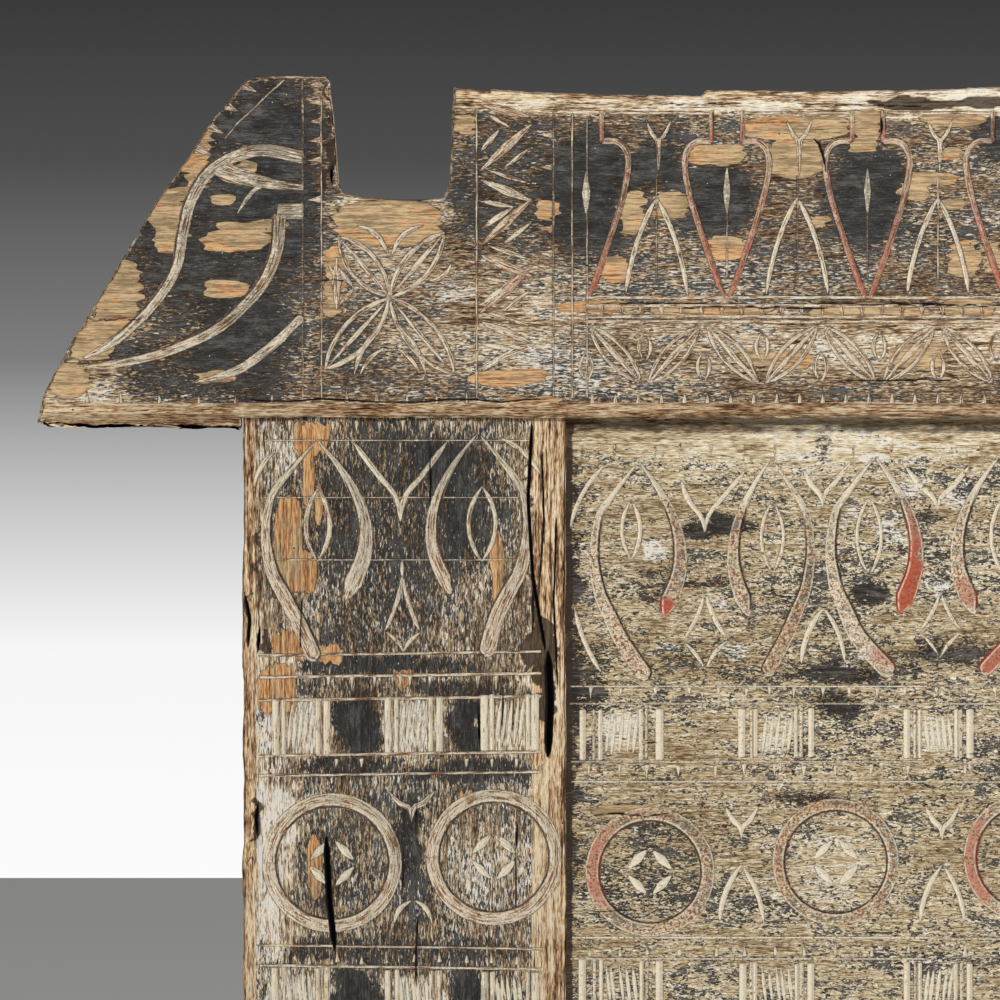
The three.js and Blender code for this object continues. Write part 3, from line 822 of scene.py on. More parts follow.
HORN_SIDE = [(696, -170), (889, -170), (901, -164), (898, -150), (892, -130), (877, -102), (865, -80), (847, -52),
             (837, -36), (817, -2), (802, 20), (787, 48), (772, 70), (757, 90), (742, 112), (734, 125),
             (722, 143), (707, 160), (692, 178), (681, 184), (611, 184), (606, 178), (601, 120), (598, 76),
             (592, 67), (577, 63), (552, 61), (517, 60), (494, 62), (488, 74), (486, 120), (484, 172), (449, 168)]
LEFT_TOP_EDGE = [(446, 171), (400, 168.5), (337, 166), (237, 164.5), (232, 170), (120, 169)]
RIGHT_TOP_EDGE = [(340, 167), (180, 170)]
LOWER_ROUND = [(0, -143), (4, -154), (13, -163), (26, -170)]
TOP_HOUSING = STILE_THICK + FIT_GAP

BARE_ON_TOP = [
    (-767, 35, 17, 28), (-817, -38, 22, 40), (-845, -80, 22, 22), (-868, -120, 22, 18), (-700, 19, 36, 10),
    (-712, -29, 22, 9), (-762, 66, 20, 6), (-780, 50, 9, 20), (-548, 36, 54, 24), (-690, 85, 12, 12),
    (-304, 46, 13, 22), (-265, 54, 17, 14), (-322, -9, 15, 13), (-222, 105, 30, 10),
    (-211, 11, 20, 14), (-142, 131, 56, 12), (-142, 101, 30, 19), (-70, 134, 13, 16), (-72, 114, 14, 8),
    (-118, 38, 9, 5), (13, 139, 32, 7), (12, 104, 10, 6), (-8, 81, 26, 7), (-24, 68, 15, 8), (15, 55, 14, 5),
    (26, 0, 16, 18), (56, 2, 9, 14), (-472, 135, 11, 10), (-392, 50, 12, 10), (-604, -20, 10, 36),
    (-430, -118, 40, 8), (-160, -100, 36, 9), (-20, -96, 30, 12), (-340, -46, 44, 6), (-226, -50, 60, 7),
    (-70, -52, 60, 8), (30, -48, 30, 9), (-722, -117, 20, 5), (-405, -140, 28, 5), (-740, 104, 14, 34),
    (-683, 33, 36, 6), (-714, 60, 12, 5), (-600, -14, 7, 24),
]
PAINT_ON_TOP = [
    (-345, 60, 50, 60, 0.42), (-720, 60, 110, 130, 0.34), (-790, -110, 90, 30, 0.2), (-690, -90, 50, 60, 0.3),
    (-655, 140, 46, 44, 0.3), (-655, 60, 40, 60, 0.2), (-345, 110, 24, 26, 0.3), (-282, 90, 26, 20, 0.4),
    (-212, 60, 34, 34, 0.3), (-72, 65, 38, 46, 0.25), (56, 128, 10, 16, 0.4), (-470, 30, 30, 60, 0.1),
    (-230, 60, 40, 40, 0.25), (-72, 65, 45, 55, 0.34), (-420, 70, 60, 90, 0.16), (-500, 60, 30, 60, 0.1),
    (-270, 110, 26, 24, 0.2), (30, 155, 60, 8, 0.35), (55, 120, 16, 26, 0.3), (-135, 10, 70, 45, 0.04),
    (10, 25, 40, 30, 0.1), (-330, -95, 60, 30, 0.1), (-590, -90, 40, 40, 0.14), (-200, -85, 380, 40, -0.14),
    (0, -90, 80, 40, -0.08), (-540, 20, 70, 60, -0.1), (-440, -20, 60, 50, -0.14), (-200, 160, 420, 12, -0.6),
    (-540, 50, 60, 14, -0.4), (-460, 165, 40, 14, -0.4), (-870, -130, 60, 36, -0.35), (-400, -45, 90, 14, -0.1),
]


CHALK_ON_TOP = [
    (-480, -34, 40, 12, 0.35), (-370, -110, 60, 26, 0.3), (-560, -132, 60, 8, 0.2), (-160, -20, 130, 20, 0.15),
    (-70, 10, 40, 30, 0.15), (-30, 70, 30, 10, 0.3), (-400, 130, 40, 14, 0.15), (-300, -130, 60, 8, 0.2),
    (-470, 60, 30, 20, 0.1), (-700, -130, 120, 10, 0.1), (-230, -100, 60, 20, 0.1), (40, 40, 26, 40, 0.15),
]


GRIME_ON_TOP = [(-20, 156, 56, 5, 1), (60, 158, 60, 6, 0.8), (30, 130, 10, 16, 0.4), (-604, 120, 5, 60, 0.9)]


class TopBoard(Board):
    """The horned and notched board across the top."""

    name = "top_board"
    front = TOP_THICK
    cell = 13.2
    corner = 3.5
    seed = 11

    def draw_outline(self):
        lip = (STILE_OUTER, LIP_BOTTOM)
        half = [lip, *HORN_SIDE]
        left = [(-x, z) for x, z in half + LEFT_TOP_EDGE]
        return [*left, (0, 171), (60, 173), *[(x, z) for x, z in (half + RIGHT_TOP_EDGE)[::-1]]]

    def draw_carving(self):
        horn = horn_carving()
        return [*vee_band(), *leaf_zigzag(), *by_hand(across_middle(horn), 3, 0.4), *by_hand(horn, 4)]

    def draw_cracks(self):
        rng = random.Random(7)
        cracks = []
        for x, z, reach in ((-280, -43, 60), (-180, -48, 80), (-60, -44, 70), (20, -46, 60), (-250, 155, 40),
                            (-60, 154, 50), (-820, -60, 26), (-600, -20, 20), (-470, 10, 24), (-40, -120, 60),
                            (300, -46, 80), (500, -40, 60), (380, 150, 60), (760, -70, 40), (160, -50, 70)):
            path = [(x + reach * t, z + rng.uniform(-1.2, 1.2)) for t in np.linspace(-1, 1, 14)]
            cracks.append(Stroke(path, 1.5, 3))
        for side in (-1, 1):
            path = [(side * (STILE_OUTER - 26 * i), -141 + rng.uniform(-2, 2)) for i in range(13)]
            cracks.append(Stroke(path, 1.6, 3))
        cracks.append(Stroke([(-604, 96), (-605, 86), (-604, 74)], 3.5, 7))
        cracks.append(Stroke([(-57, 147), (-56, 132), (-57, 121)], 3, 4))
        cracks.append(Stroke([(-128, 124), (-119, 116), (-114, 102), (-111, 84)], 2.6, 4))
        return cracks

    def seen(self, x, z):
        return x < FINE_RIGHT

    def prepare(self, bm):
        reach = STILE_OUTER + FIT_GAP
        for y in (-TOP_HOUSING - 0.05, -TOP_HOUSING + 0.05):
            split_at(bm, (0, y, 0), (0, 1, 0))
        split_at(bm, (0, 0, HOUSING_TOP + 0.3), (0, 0, 1))
        for x in (-reach - 0.05, -reach + 0.05, reach - 0.05, reach + 0.05):
            behind = [f for f in bm.faces if f.calc_center_median().y > -TOP_HOUSING]
            around = list({e for f in behind for e in f.edges}) + list({v for f in behind for v in f.verts})
            bmesh.ops.bisect_plane(bm, geom=behind + around, dist=1e-4, plane_co=(x, 0, 0), plane_no=(1, 0, 0))

    def house(self, bm):
        for v in bm.verts:
            if v.co.y > -TOP_HOUSING and abs(v.co.x) < STILE_OUTER + FIT_GAP:
                v.co.z = max(v.co.z, HOUSING_TOP + 0.3)

    def section(self, x, y, z):
        insets, heights = zip(*LOWER_ROUND)
        inset = np.interp(-z, [-h for h in heights], insets)
        base = -TOP_HOUSING - 0.05
        span = self.front + base
        return np.where(y < base, base + (y - base) * (span - np.minimum(inset, span)) / span, y)

    def ragged(self, x, y, z, away):
        low = smooth(z, -150, -165) * 3 + smooth(z, 140, 170) * 1.2
        toe = smooth(np.abs(x), 780, 880) * 3
        wear = self.grain.layered(x + 0.6 * y, z + 2 * y, 26, 9)
        return (1.2 + low + toe) * wear ** 1.5 * 2

    def face_relief(self, x, z, away, fields):
        grain = self.grain
        bare = patches(x, z, both_sides(BARE_ON_TOP, 5), grain)
        fields["bare"] = bare
        fields["paint"] = toned(x, z, 0.44, both_sides(PAINT_ON_TOP, 6), grain)
        fields["chalk"] = toned(x, z, 0.18, both_sides(CHALK_ON_TOP, 7), grain)
        raw = np.maximum(smooth(z, -138 + 8 * (grain.layered(x, z * 0, 50, 9) - 0.5), -148), 0)
        raw = np.maximum(raw, smooth(z, 152, 160) * smooth(-np.abs(x), -486, -480) * 0.55
                         * smooth(grain.layered(x, z, 120, 12), 0.3, 0.5))
        fields["raw"] = np.clip(raw, 0, 1)
        fields["grime"] = smooth(toned(x, z, 0, GRIME_ON_TOP, grain), 0.2, 0.8)
        fibres = grain.layered(x, z, 90, 5) * 1.2 + grain.layered(x + 40, z, 30, 3) * 0.5
        spall = smooth(bare, 0, 0.05) * 1.3
        return fibres * (0.5 + 1.6 * fields["raw"]) + spall + fields["raw"] * 2.2 * grain.layered(x, z, 30, 8)


# Stiles

STILE_HOUSING = PANEL_THICK + FIT_GAP
LIP_COVER = 15.0

BARE_ON_STILE = [
    (-626, -178, 17, 17), (-648, -283, 15, 49), (-633, -312, 13, 21), (-629, -214, 5, 34),
    (-606, -394, 14, 9), (-534, -416, 10, 9), (-440, -330, 6, 60), (-398, -460, 7, 50), (-688, -560, 7, 40),
    (-619, -240, 4, 20), (-540, -800, 14, 30), (-600, -900, 16, 40), (-622, -608, 8, 32), (-660, -430, 20, 26),
    (-647, -385, 20, 12), (-470, -537, 10, 4),
]
PAINT_ON_STILE = [
    (-535, -250, 70, 100, 0.22), (-465, -240, 34, 70, 0.25), (-620, -260, 40, 80, 0.14), (-560, -370, 60, 40, 0.14),
    (-580, -466, 26, 26, 0.6), (-470, -466, 16, 26, 0.6), (-602, -603, 40, 44, 0.12), (-443, -600, 46, 48, -0.1),
    (-580, -740, 24, 30, 0.6), (-470, -740, 20, 30, 0.6), (-637, -466, 30, 28, -0.6), (-523, -466, 30, 28, -0.6),
    (-427, -466, 28, 28, -0.5), (-600, -506, 60, 10, 0.3), (-470, -512, 60, 12, 0.35), (-560, -405, 100, 10, 0.3),
    (-480, -428, 50, 9, 0.3), (-600, -430, 40, 9, 0.1), (-530, -580, 16, 40, 0.4), (-520, -640, 20, 30, 0.2),
    (-390, -330, 22, 200, -0.5), (-688, -400, 16, 300, -0.5), (-640, -740, 30, 26, -0.5), (-660, -400, 30, 26, -0.5),
    (-523, -740, 28, 26, -0.5), (-540, -690, 140, 16, 0.2), (-660, -600, 22, 110, -0.5), (-560, -542, 60, 12, 0.1),
    (-655, -190, 20, 20, -0.2), (-500, -200, 30, 20, 0.3),
]


CHALK_ON_STILE = [
    (-664, -190, 20, 30, 0.3), (-637, -466, 30, 26, 0.3), (-523, -466, 28, 26, 0.35), (-427, -466, 24, 26, 0.15),
    (-600, -540, 90, 12, 0.15), (-500, -520, 100, 14, 0.1), (-470, -170, 60, 12, 0.15), (-640, -740, 30, 26, 0.3),
    (-523, -740, 28, 26, 0.3), (-664, -560, 16, 130, 0.35), (-535, -330, 60, 40, 0.12), (-443, -620, 40, 40, 0.2),
    (-530, -640, 20, 30, 0.25), (-600, -340, 60, 40, 0.08), (-460, -250, 30, 50, 0.08),
]


GRIME_ON_STILE = [
    (-390, -400, 10, 40, 1), (-400, -380, 14, 30, 0.8), (-396, -446, 14, 20, 0.7), (-407, -300, 4, 130, 0.7),
    (-680, -300, 4, 60, 0.6), (-676, -385, 6, 14, 1), (-681, -560, 5, 24, 1), (-603, -640, 6, 60, 0.5),
]


class Stile(Board):
    """An upright board under one end of the top board."""

    front = STILE_THICK
    cell = 10.4
    corner = 3.0

    def __init__(self, side):
        self.side = side
        self.name = "left_stile" if side < 0 else "right_stile"
        self.seed = 21 if side < 0 else 22
        super().__init__()

    def draw_outline(self):
        corners = [(STILE_INNER, SAWN_FOOT), (STILE_OUTER, SAWN_FOOT), (STILE_OUTER, HOUSING_TOP),
                   (STILE_INNER, HOUSING_TOP)]
        return [(self.side * x, z) for x, z in corners][::self.side]

    def draw_carving(self):
        carving = stile_carving(31 if self.side < 0 else 32)
        return across_middle(carving) if self.side < 0 else by_hand(carving, 33)

    def draw_cracks(self):
        lip = [Stroke([(-389, -390), (-387, -440), (-389, -497)], 9, 15, end=0.2),
               Stroke([(-405, -160), (-409, -240), (-404, -320), (-391, -395)], 3.5, 7),
               Stroke([(-611, -575), (-608, -640), (-602, -692)], 6.5, 12),
               Stroke([(-679, -540), (-681, -560), (-679, -580)], 4, 8),
               Stroke([(-677, -365), (-680, -395)], 4, 8),
               Stroke([(-459, -440), (-457, -495)], 2.2, 5),
               Stroke([(-420, -560), (-421, -596)], 2.2, 5),
               Stroke([(-694, -330), (-688, -360), (-690, -390)], 4, 6),
               Stroke([(-396, -180), (-393, -260), (-398, -330)], 2, 4),
               Stroke([(-380, -250), (-383, -340), (-379, -430)], 2, 4),
               Stroke([(-568, -760), (-566, -860)], 3, 8),
               Stroke([(-470, -900), (-474, -1000)], 3, 8)]
        rng = random.Random(self.seed)
        for _ in range(16):
            x, z, reach = -rng.uniform(385, 685), rng.uniform(-1000, -200), rng.uniform(12, 40)
            path = [(x + rng.uniform(-1, 1), z + reach * t) for t in np.linspace(-1, 1, 5)]
            lip.append(Stroke(path, 1.5, 3))
        return lip if self.side < 0 else by_hand(across_middle(lip[5:]), 8, 12)

    def prepare(self, bm):
        edge = self.side * (STILE_INNER + LIP_COVER)
        for y in (-STILE_HOUSING - 0.05, -STILE_HOUSING + 0.05):
            split_at(bm, (0, y, 0), (0, 1, 0))
        split_at(bm, (edge, 0, 0), (1, 0, 0))

    def house(self, bm):
        edge = STILE_INNER + LIP_COVER
        for v in bm.verts:
            if v.co.y > -STILE_HOUSING:
                v.co.x = self.side * max(abs(v.co.x), edge)

    def ragged(self, x, y, z, away):
        side = smooth(np.abs(x), STILE_OUTER - 20, STILE_OUTER) * 1.6
        inner = smooth(np.abs(x), STILE_INNER + 20, STILE_INNER) * 1.2
        level = smooth(z, SAWN_FOOT + 20, SAWN_FOOT + 60)
        return (0.5 + (side + inner) * level) * self.grain.layered(x + 0.5 * y, z, 8, 44) ** 1.5 * 3

    def face_relief(self, x, z, away, fields):
        grain = self.grain
        flip = 1 if self.side < 0 else -1
        fields["bare"] = patches(flip * x, z, BARE_ON_STILE, grain, 5, (9, 26))
        fields["paint"] = toned(flip * x, z, 0.42, PAINT_ON_STILE, grain)
        fields["chalk"] = toned(flip * x, z, 0.2, CHALK_ON_STILE, grain)
        u = np.abs(x)
        strip = smooth(u, 412, 398) + smooth(u, 676 + 8 * (grain.layered(x * 0, z, 9, 60) - 0.5), 686)
        fields["raw"] = np.clip(strip, 0, 1)
        fields["grime"] = smooth(toned(flip * x, z, 0, GRIME_ON_STILE, grain), 0.2, 0.8)
        fibres = grain.layered(x, z, 4, 90) * 1.0 + grain.layered(x + 40, z, 2.5, 30) * 0.4
        worn = fields["raw"] * (2.6 * grain.layered(x, z, 7, 70) ** 1.3)
        return fibres * (0.5 + fields["raw"]) + smooth(fields["bare"], 0, 0.06) * 1.2 + worn


# Centre panel

BARE_ON_PANEL = [
    (-302, -550, 40, 5), (-330, -555, 16, 4), (200, -560, 40, 6), (260, -300, 26, 8), (120, -800, 40, 8),
]
# Dark paint patches on the panel. The tall strip (-366, -400, 9, 260) beside the left stile is partly dark paint and
# partly painted shade.
PAINT_AND_SHADE_ON_PANEL = [
    (-232, -268, 26, 10, 0.6), (-208, -265, 22, 8, 0.4), (-66, -334, 16, 13, 0.7), (-110, -186, 10, 11, 0.35),
    (-134, -538, 40, 8, 0.4), (-100, -444, 26, 14, 0.5), (-100, -414, 44, 12, 0.35), (-366, -400, 9, 260, 0.4),
    (-350, -420, 24, 34, 0.3), (-280, -325, 20, 22, 0.2), (-258, -300, 24, 14, 0.1), (-230, -322, 24, 6, 0.35),
    (-200, -410, 110, 18, 0.12), (-280, -390, 80, 20, 0.12), (-60, -400, 60, 20, 0.2), (-140, -350, 60, 40, 0.08),
    (-300, -600, 66, 62, 0.12), (-240, -570, 60, 30, 0.08), (-140, -178, 260, 20, -0.4), (-150, -200, 160, 16, -0.1),
    (-100, -610, 50, 40, -0.1), (-160, -474, 20, 20, -0.3), (-314, -474, 22, 20, -0.4), (-6, -474, 22, 20, -0.3),
    (40, -560, 90, 60, 0.05), (-280, -230, 60, 20, -0.05), (200, -270, 90, 40, 0.1), (310, -620, 60, 50, 0.1),
    (-2, -256, 16, 8, 0.25), (26, -390, 44, 16, 0.3), (-357, -250, 12, 60, 0.1),
]
CHALK_ON_PANEL = [
    (-160, -474, 20, 20, 0.3), (-316, -474, 24, 20, 0.4), (-6, -474, 20, 20, 0.25), (-281, -290, 12, 12, 0.8),
    (-45, -266, 14, 14, 0.6), (-86, -255, 9, 14, 0.5), (-24, -228, 13, 12, 0.6), (22, -236, 12, 14, 0.55),
    (-66, -194, 12, 5, 0.6), (-130, -284, 10, 5, 0.5), (-202, -392, 18, 10, 0.6), (-213, -345, 12, 8, 0.4),
    (-268, -388, 16, 6, 0.5), (-357, -290, 20, 10, 0.4), (-302, -230, 40, 30, 0.05), (-140, -208, 40, 14, 0.25),
    (-20, -200, 80, 30, 0.1), (-100, -600, 40, 40, 0.15), (-260, -300, 40, 40, 0.1), (-320, -372, 24, 14, 0.3),
    (6, -326, 12, 5, 0.6), (-78, -398, 14, 8, 0.4),
]
RED_ON_PANEL = [
    (-316, -370, 30, 70, 1.0), (-272, -346, 12, 12, 0.8), (-340, -290, 12, 16, 0.5), (-263, -270, 14, 40, 0.3),
    (-185, -335, 16, 26, 0.6), (-196, -250, 10, 60, 0.3), (-143, -365, 16, 34, 0.8), (-128, -265, 10, 26, 0.5),
    (-104, -320, 12, 24, 0.5), (-80, -360, 20, 24, 0.5), (-52, -395, 20, 14, 0.8), (-32, -330, 20, 50, 1.3),
    (-20, -270, 12, 30, 0.7), (32, -334, 14, 18, 1.1), (28, -306, 10, 16, 0.5), (60, -400, 30, 20, 0.8),
    (-287, -613, 74, 74, 0.2), (-340, -600, 16, 50, 0.9), (-290, -552, 30, 14, 0.6), (-160, -600, 14, 50, 0.9),
    (-100, -543, 46, 14, 0.9), (35, -600, 16, 60, 0.9), (-160, -474, 50, 34, 0.5), (-316, -474, 50, 34, 0.5),
    (0, -474, 50, 34, 0.6), (-240, -1000, 300, 300, 0.3), (240, -500, 180, 400, 0.35),
]


class CentrePanel(Board):
    """The thinner board between the stiles."""

    name = "centre_panel"
    front = PANEL_THICK
    cell = 12.9
    corner = 1.5
    seed = 41

    def draw_outline(self):
        x = PANEL_HIGH[0]
        return [(-x, SAWN_FOOT), (x, SAWN_FOOT), (x, PANEL_HIGH[2]), (-x, PANEL_HIGH[2])]

    def draw_carving(self):
        return panel_carving(51)

    def draw_cracks(self):
        rng = random.Random(9)
        cracks = [Stroke([(-352, -557), (-320, -554), (-290, -557), (-262, -553)], 1.6, 4)]
        for _ in range(22):
            x, z, reach = rng.uniform(-350, 350), rng.uniform(-1000, -180), rng.uniform(8, 34)
            path = [(x + reach * t, z + rng.uniform(-1, 1)) for t in np.linspace(-1, 1, 5)]
            cracks.append(Stroke(path, 1.4, 2.4))
        return cracks

    def prepare(self, bm):
        for z in (PANEL_SHOULDER - 0.05, PANEL_SHOULDER + 0.05):
            split_at(bm, (0, 0, z), (0, 0, 1))

    def house(self, bm):
        for v in bm.verts:
            if v.co.z > PANEL_SHOULDER:
                v.co.y *= TONGUE_THICK / PANEL_THICK

    def ragged(self, x, y, z, away):
        return np.zeros(len(x))

    def face_relief(self, x, z, away, fields):
        grain = self.grain
        fields["bare"] = patches(x, z, BARE_ON_PANEL, grain)
        fields["paint"] = toned(x, z, 0.36, PAINT_AND_SHADE_ON_PANEL, grain)
        fields["chalk"] = toned(x, z, 0.12, CHALK_ON_PANEL, grain)
        fields["red"] *= np.clip(toned(x, z, 0.22, RED_ON_PANEL, grain), 0, 1.4)
        fields["raw"] = np.zeros(len(x))
        # Painted shade: a dark strip down each side where the panel meets the stiles, and along its top under the top
        # board's lip.
        fields["grime"] = smooth(np.abs(x), 362, 367) + 0.6 * smooth(z, -178, -170)
        fibres = grain.layered(x, z, 60, 4) * 1.1 + grain.layered(x + 40, z, 20, 2.5) * 0.5
        return fibres + smooth(fields["bare"], 0, 0.06) * 0.8


# Materials

def srgb(red, green, blue):
    """A colour as read off a picture, from 0 to 255, for a shader."""
    def linear(c):
        c /= 255
        return c / 12.92 if c <= 0.04045 else ((c + 0.055) / 1.055) ** 2.4
    return (linear(red), linear(green), linear(blue), 1.0)


class Value:
    """An output of a node that can stand in an expression. Arithmetic on it adds Math nodes."""

    def __init__(self, finish, socket):
        self.finish = finish
        self.socket = socket

    def maths(self, operation, *terms):
        return self.finish.node("ShaderNodeMath", {"operation": operation}, dict(enumerate(terms)))

    def __add__(self, other):
        return self.maths("ADD", self, other)

    def __radd__(self, other):
        return self.maths("ADD", other, self)

    def __sub__(self, other):
        return self.maths("SUBTRACT", self, other)

    def __rsub__(self, other):
        return self.maths("SUBTRACT", other, self)

    def __mul__(self, other):
        return self.maths("MULTIPLY", self, other)

    def __rmul__(self, other):
        return self.maths("MULTIPLY", other, self)

    def most(self, other):
        return self.maths("MAXIMUM", self, other)

    def least(self, other):
        return self.maths("MINIMUM", self, other)

    def step(self, low, high):
        """0 below low and 1 above high, or the other way round, and smooth between."""
        return self.finish.node("ShaderNodeMapRange", {"interpolation_type": "SMOOTHSTEP"},
                                {"Value": self, "From Min": low, "From Max": high})


class Finish:
    """The nodes of a material or of the world, all added in one way."""

    def __init__(self, tree):
        self.tree = tree
        tree.nodes.clear()

    def node(self, kind, settings=None, sockets=None, output=0):
        made = self.tree.nodes.new(kind)
        for name, value in (settings or {}).items():
            if name == "stops":
                ramp = made.color_ramp
                while len(ramp.elements) < len(value):
                    ramp.elements.new(1)
                for element, (place, colour) in zip(ramp.elements, value):
                    element.position = place
                    element.color = colour
            else:
                setattr(made, name, value)
        for key, value in (sockets or {}).items():
            if isinstance(value, Value):
                self.tree.links.new(value.socket, made.inputs[key])
            else:
                made.inputs[key].default_value = value
        return Value(self, made.outputs[output]) if made.outputs else None

    def field(self, name):
        return self.node("ShaderNodeAttribute", {"attribute_name": name}, output="Fac")

    def mix(self, factor, first, second):
        return self.node("ShaderNodeMix", {"data_type": "RGBA"}, {0: factor, 6: first, 7: second}, 2)

    def ramp(self, value, stops):
        return self.node("ShaderNodeValToRGB", {"stops": stops}, {"Fac": value})

    def scaled(self, vector, scale):
        return self.node("ShaderNodeVectorMath", {"operation": "MULTIPLY"}, {0: vector, 1: scale})


class WornWood(Finish):
    """Old wood under worn paint, with the gouge cuts pale or red."""

    def __init__(self, name, upright):
        self.material = bpy.data.materials.new(name)
        self.material.use_nodes = True
        super().__init__(self.material.node_tree)
        self.upright = upright
        self.place = self.node("ShaderNodeTexCoord", output="Object")

    def noise(self, along, across, detail=4.0, roughness=0.55, shift=0.0, distortion=0.0):
        """Noise whose blotches are so many millimetres along the grain and across it."""
        k, m = 1 / (along * MM), 1 / (across * MM)
        scale = (m, m, k) if self.upright else (k, m, m)
        at = self.scaled(self.place, scale)
        moved = self.node("ShaderNodeVectorMath", {"operation": "ADD"}, {0: at, 1: (shift, shift, shift)})
        return self.node("ShaderNodeTexNoise", sockets={"Vector": moved, "Scale": 1.0, "Detail": detail,
                                                        "Roughness": roughness, "Distortion": distortion})

    def dots(self, spacing, radius, share):
        """Round holes about so far apart, where only a share of the cells has one."""
        at = self.scaled(self.place, (1 / (spacing * MM),) * 3)
        far = self.node("ShaderNodeTexVoronoi", {"feature": "F1"}, {"Vector": at, "Scale": 1.0})
        pick = self.node("ShaderNodeTexVoronoi", {"feature": "F1"}, {"Vector": at, "Scale": 1.0}, "Color")
        chance = self.node("ShaderNodeSeparateColor", sockets={0: pick})
        return far.step(radius / spacing * 1.25, radius / spacing * 0.8) * chance.step(share + 0.01, share)

    def finish(self, colour, roughness, height, depth):
        normal = self.node("ShaderNodeBump", sockets={"Strength": 1.0, "Distance": depth * MM, "Height": height})
        surface = self.node("ShaderNodeBsdfPrincipled", sockets={
            "Base Color": colour, "Roughness": roughness, "Normal": normal, "Specular IOR Level": 0.25})
        self.node("ShaderNodeOutputMaterial", sockets={"Surface": surface})
        return self.material


def carved_finish(name, upright, wood, paint, look, colours):
    """One board's finish. wood and paint are ramps; look holds the amounts that differ between boards."""
    f = WornWood(name, upright)
    streak = f.noise(60, 2.6, 5, 0.66) - 0.5
    fibre = f.noise(9, 0.9, 2, 0.6, 7) - 0.5
    fleck = f.noise(look["fleck"][0], look["fleck"][1], 4, 0.66, 3, look["fleck"][3]) - 0.5
    smear = f.noise(look["smear"][0], look["smear"][1], 4, 0.62, 31, 0.6) - 0.5
    blotch = f.noise(130, 46, 4, 0.55, 11) - 0.5
    mottle = f.noise(24, 9, 4, 0.6, 19) - 0.5
    grit = f.noise(2.6, 2.0, 3, 0.6, 43) - 0.5
    swept = f.node("ShaderNodeCombineXYZ", sockets={0: f.field("along") * look["sweep"][0],
                                                    1: f.field("across") * look["sweep"][1]})
    gouged = f.node("ShaderNodeTexNoise", {"noise_dimensions": "2D"},
                    {"Vector": swept, "Scale": 1.0, "Detail": 3.0, "Roughness": 0.65}) - 0.5
    bare = f.field("bare").step(0.0, 0.03)
    raw = f.field("raw").step(0.35, 0.6)
    broad = f.field("broad")
    cut = f.field("cut") + (fibre * 1.2 + grit * 1.8) * (broad * 0.8 + 0.3)
    inside = cut.step(0.35, -0.25)
    lip = f.field("lip") + fibre + grit * 1.2
    split = f.field("split") + fibre * 1.2

    tone = streak * look["contrast"] + fibre * 1.8 + blotch * 1.0 + mottle * 1.0 + 0.5
    ground = f.ramp(tone, wood)
    smeared = smear * 2.6 + mottle * 1.2 + streak * 0.8 + blotch + f.field("chalk")
    ground = f.mix(smeared.step(0.4, 0.56) * 0.92, ground, colours["chalk"])
    warm = blotch * 2.2 + mottle * 1.6 + look["warm"]
    skin = f.mix((streak * 1.8 + fibre * 1.4 + mottle).step(-0.35, 0.35), colours["bare_dark"],
                 colours["bare_pale"])
    skin = f.mix(warm.step(0.1, 0.5) * 0.85, skin, f.ramp(tone, colours["fresh"]))
    ground = f.mix(bare * 0.94, ground, skin)
    ground = f.mix(raw * 0.85, ground, f.ramp(tone, colours["raw"]))

    cover = (f.field("paint") + streak * look["streak"] + mottle * look["mottle"] + blotch * look["blotch"]
             + fleck * look["fleck"][2] + fibre * look["fibre"])
    painted = cover.step(0.5 - look["soft"], 0.5 + look["soft"])
    painted = painted * (1 - bare * 0.97) * (1 - raw * 0.8) * f.field("rim").step(0.8, 3.0)
    soot = f.ramp(fibre * 1.4 + mottle * 1.4 + streak * 1.0 + grit * 0.6 + 0.5, paint)
    face = f.mix(painted, ground, soot)
    halo = f.field("bare").step(-0.05, -0.01) * (1 - bare)
    face = f.mix(halo * 0.6, face, colours["dirt"])
    # Dark wash from the grime field: dirt on the top board and the stiles, and painted shade on the panel beside the
    # stiles and under the top board's lip.
    grime = (f.field("grime") + mottle * 1.2 + streak * 0.6).step(0.3, 0.75)
    face = f.mix(grime * 0.9, face, colours["dirt"])

    body = f.mix((gouged * 3.4 + grit + streak).step(-0.4, 0.4), colours["cut_dark"], colours["cut_wood"])
    limed = (gouged * 2.4 + grit * 1.0 + fibre + mottle * 1.2 + f.field("pale") * 0.75 - 0.42
             + (1 - broad) * look["crisp"])
    groove = f.mix(limed.step(-0.1, 0.25) * 0.9, body, colours["lime"])
    stain = f.field("red") * look["red"]
    tint = stain + mottle * 1.6 + gouged * 2.2 + grit * 1.4 - 0.45
    groove = f.mix(tint.step(0.0, 0.35) * 0.9, groove, f.mix((tint + fibre).step(0.25, 0.7),
                                                            colours["faded_red"], colours["red"]))
    rest = (gouged * 1.6 + mottle * 2.0 + grit - stain * 0.5 + 0.55).step(0.3, 0.6)
    groove = f.mix(broad * rest * look["merge"], groove, face)
    edging = cut.step(-2.0, -1.3) * cut.step(-0.1, -0.6) * lip.step(3.5, 5.0) * (mottle * 2 + 0.6).step(0.3, 0.7)
    groove = f.mix(edging * broad * 0.6, groove, colours["lime"])
    cream = lip.step(1.9, 2.5) * lip.step(4.3, 3.2) * (mottle * 2 + grit + 0.6).step(0.3, 0.7)
    groove = f.mix(cream * broad * 0.7, groove, colours["lime"])
    stained = (cover + grit * 1.0 - 0.75).step(0.0, 0.3) * look["stain"]
    groove = f.mix(stained, groove, soot)
    # Painted shade: the steep inner wall of a broad cut is coloured dark brown, or a darker red where the red stain
    # is strong.
    steep = lip.step(2.3, 1.4) * lip.step(-0.3, 0.3) * (mottle * 2 + 0.75).step(0.2, 0.6)
    groove = f.mix(steep * broad * 0.9, groove, f.mix((stain + mottle).step(0.45, 0.9), colours["dirt"],
                                                      colours["deep_red"]))
    whole = f.mix(inside, face, groove)
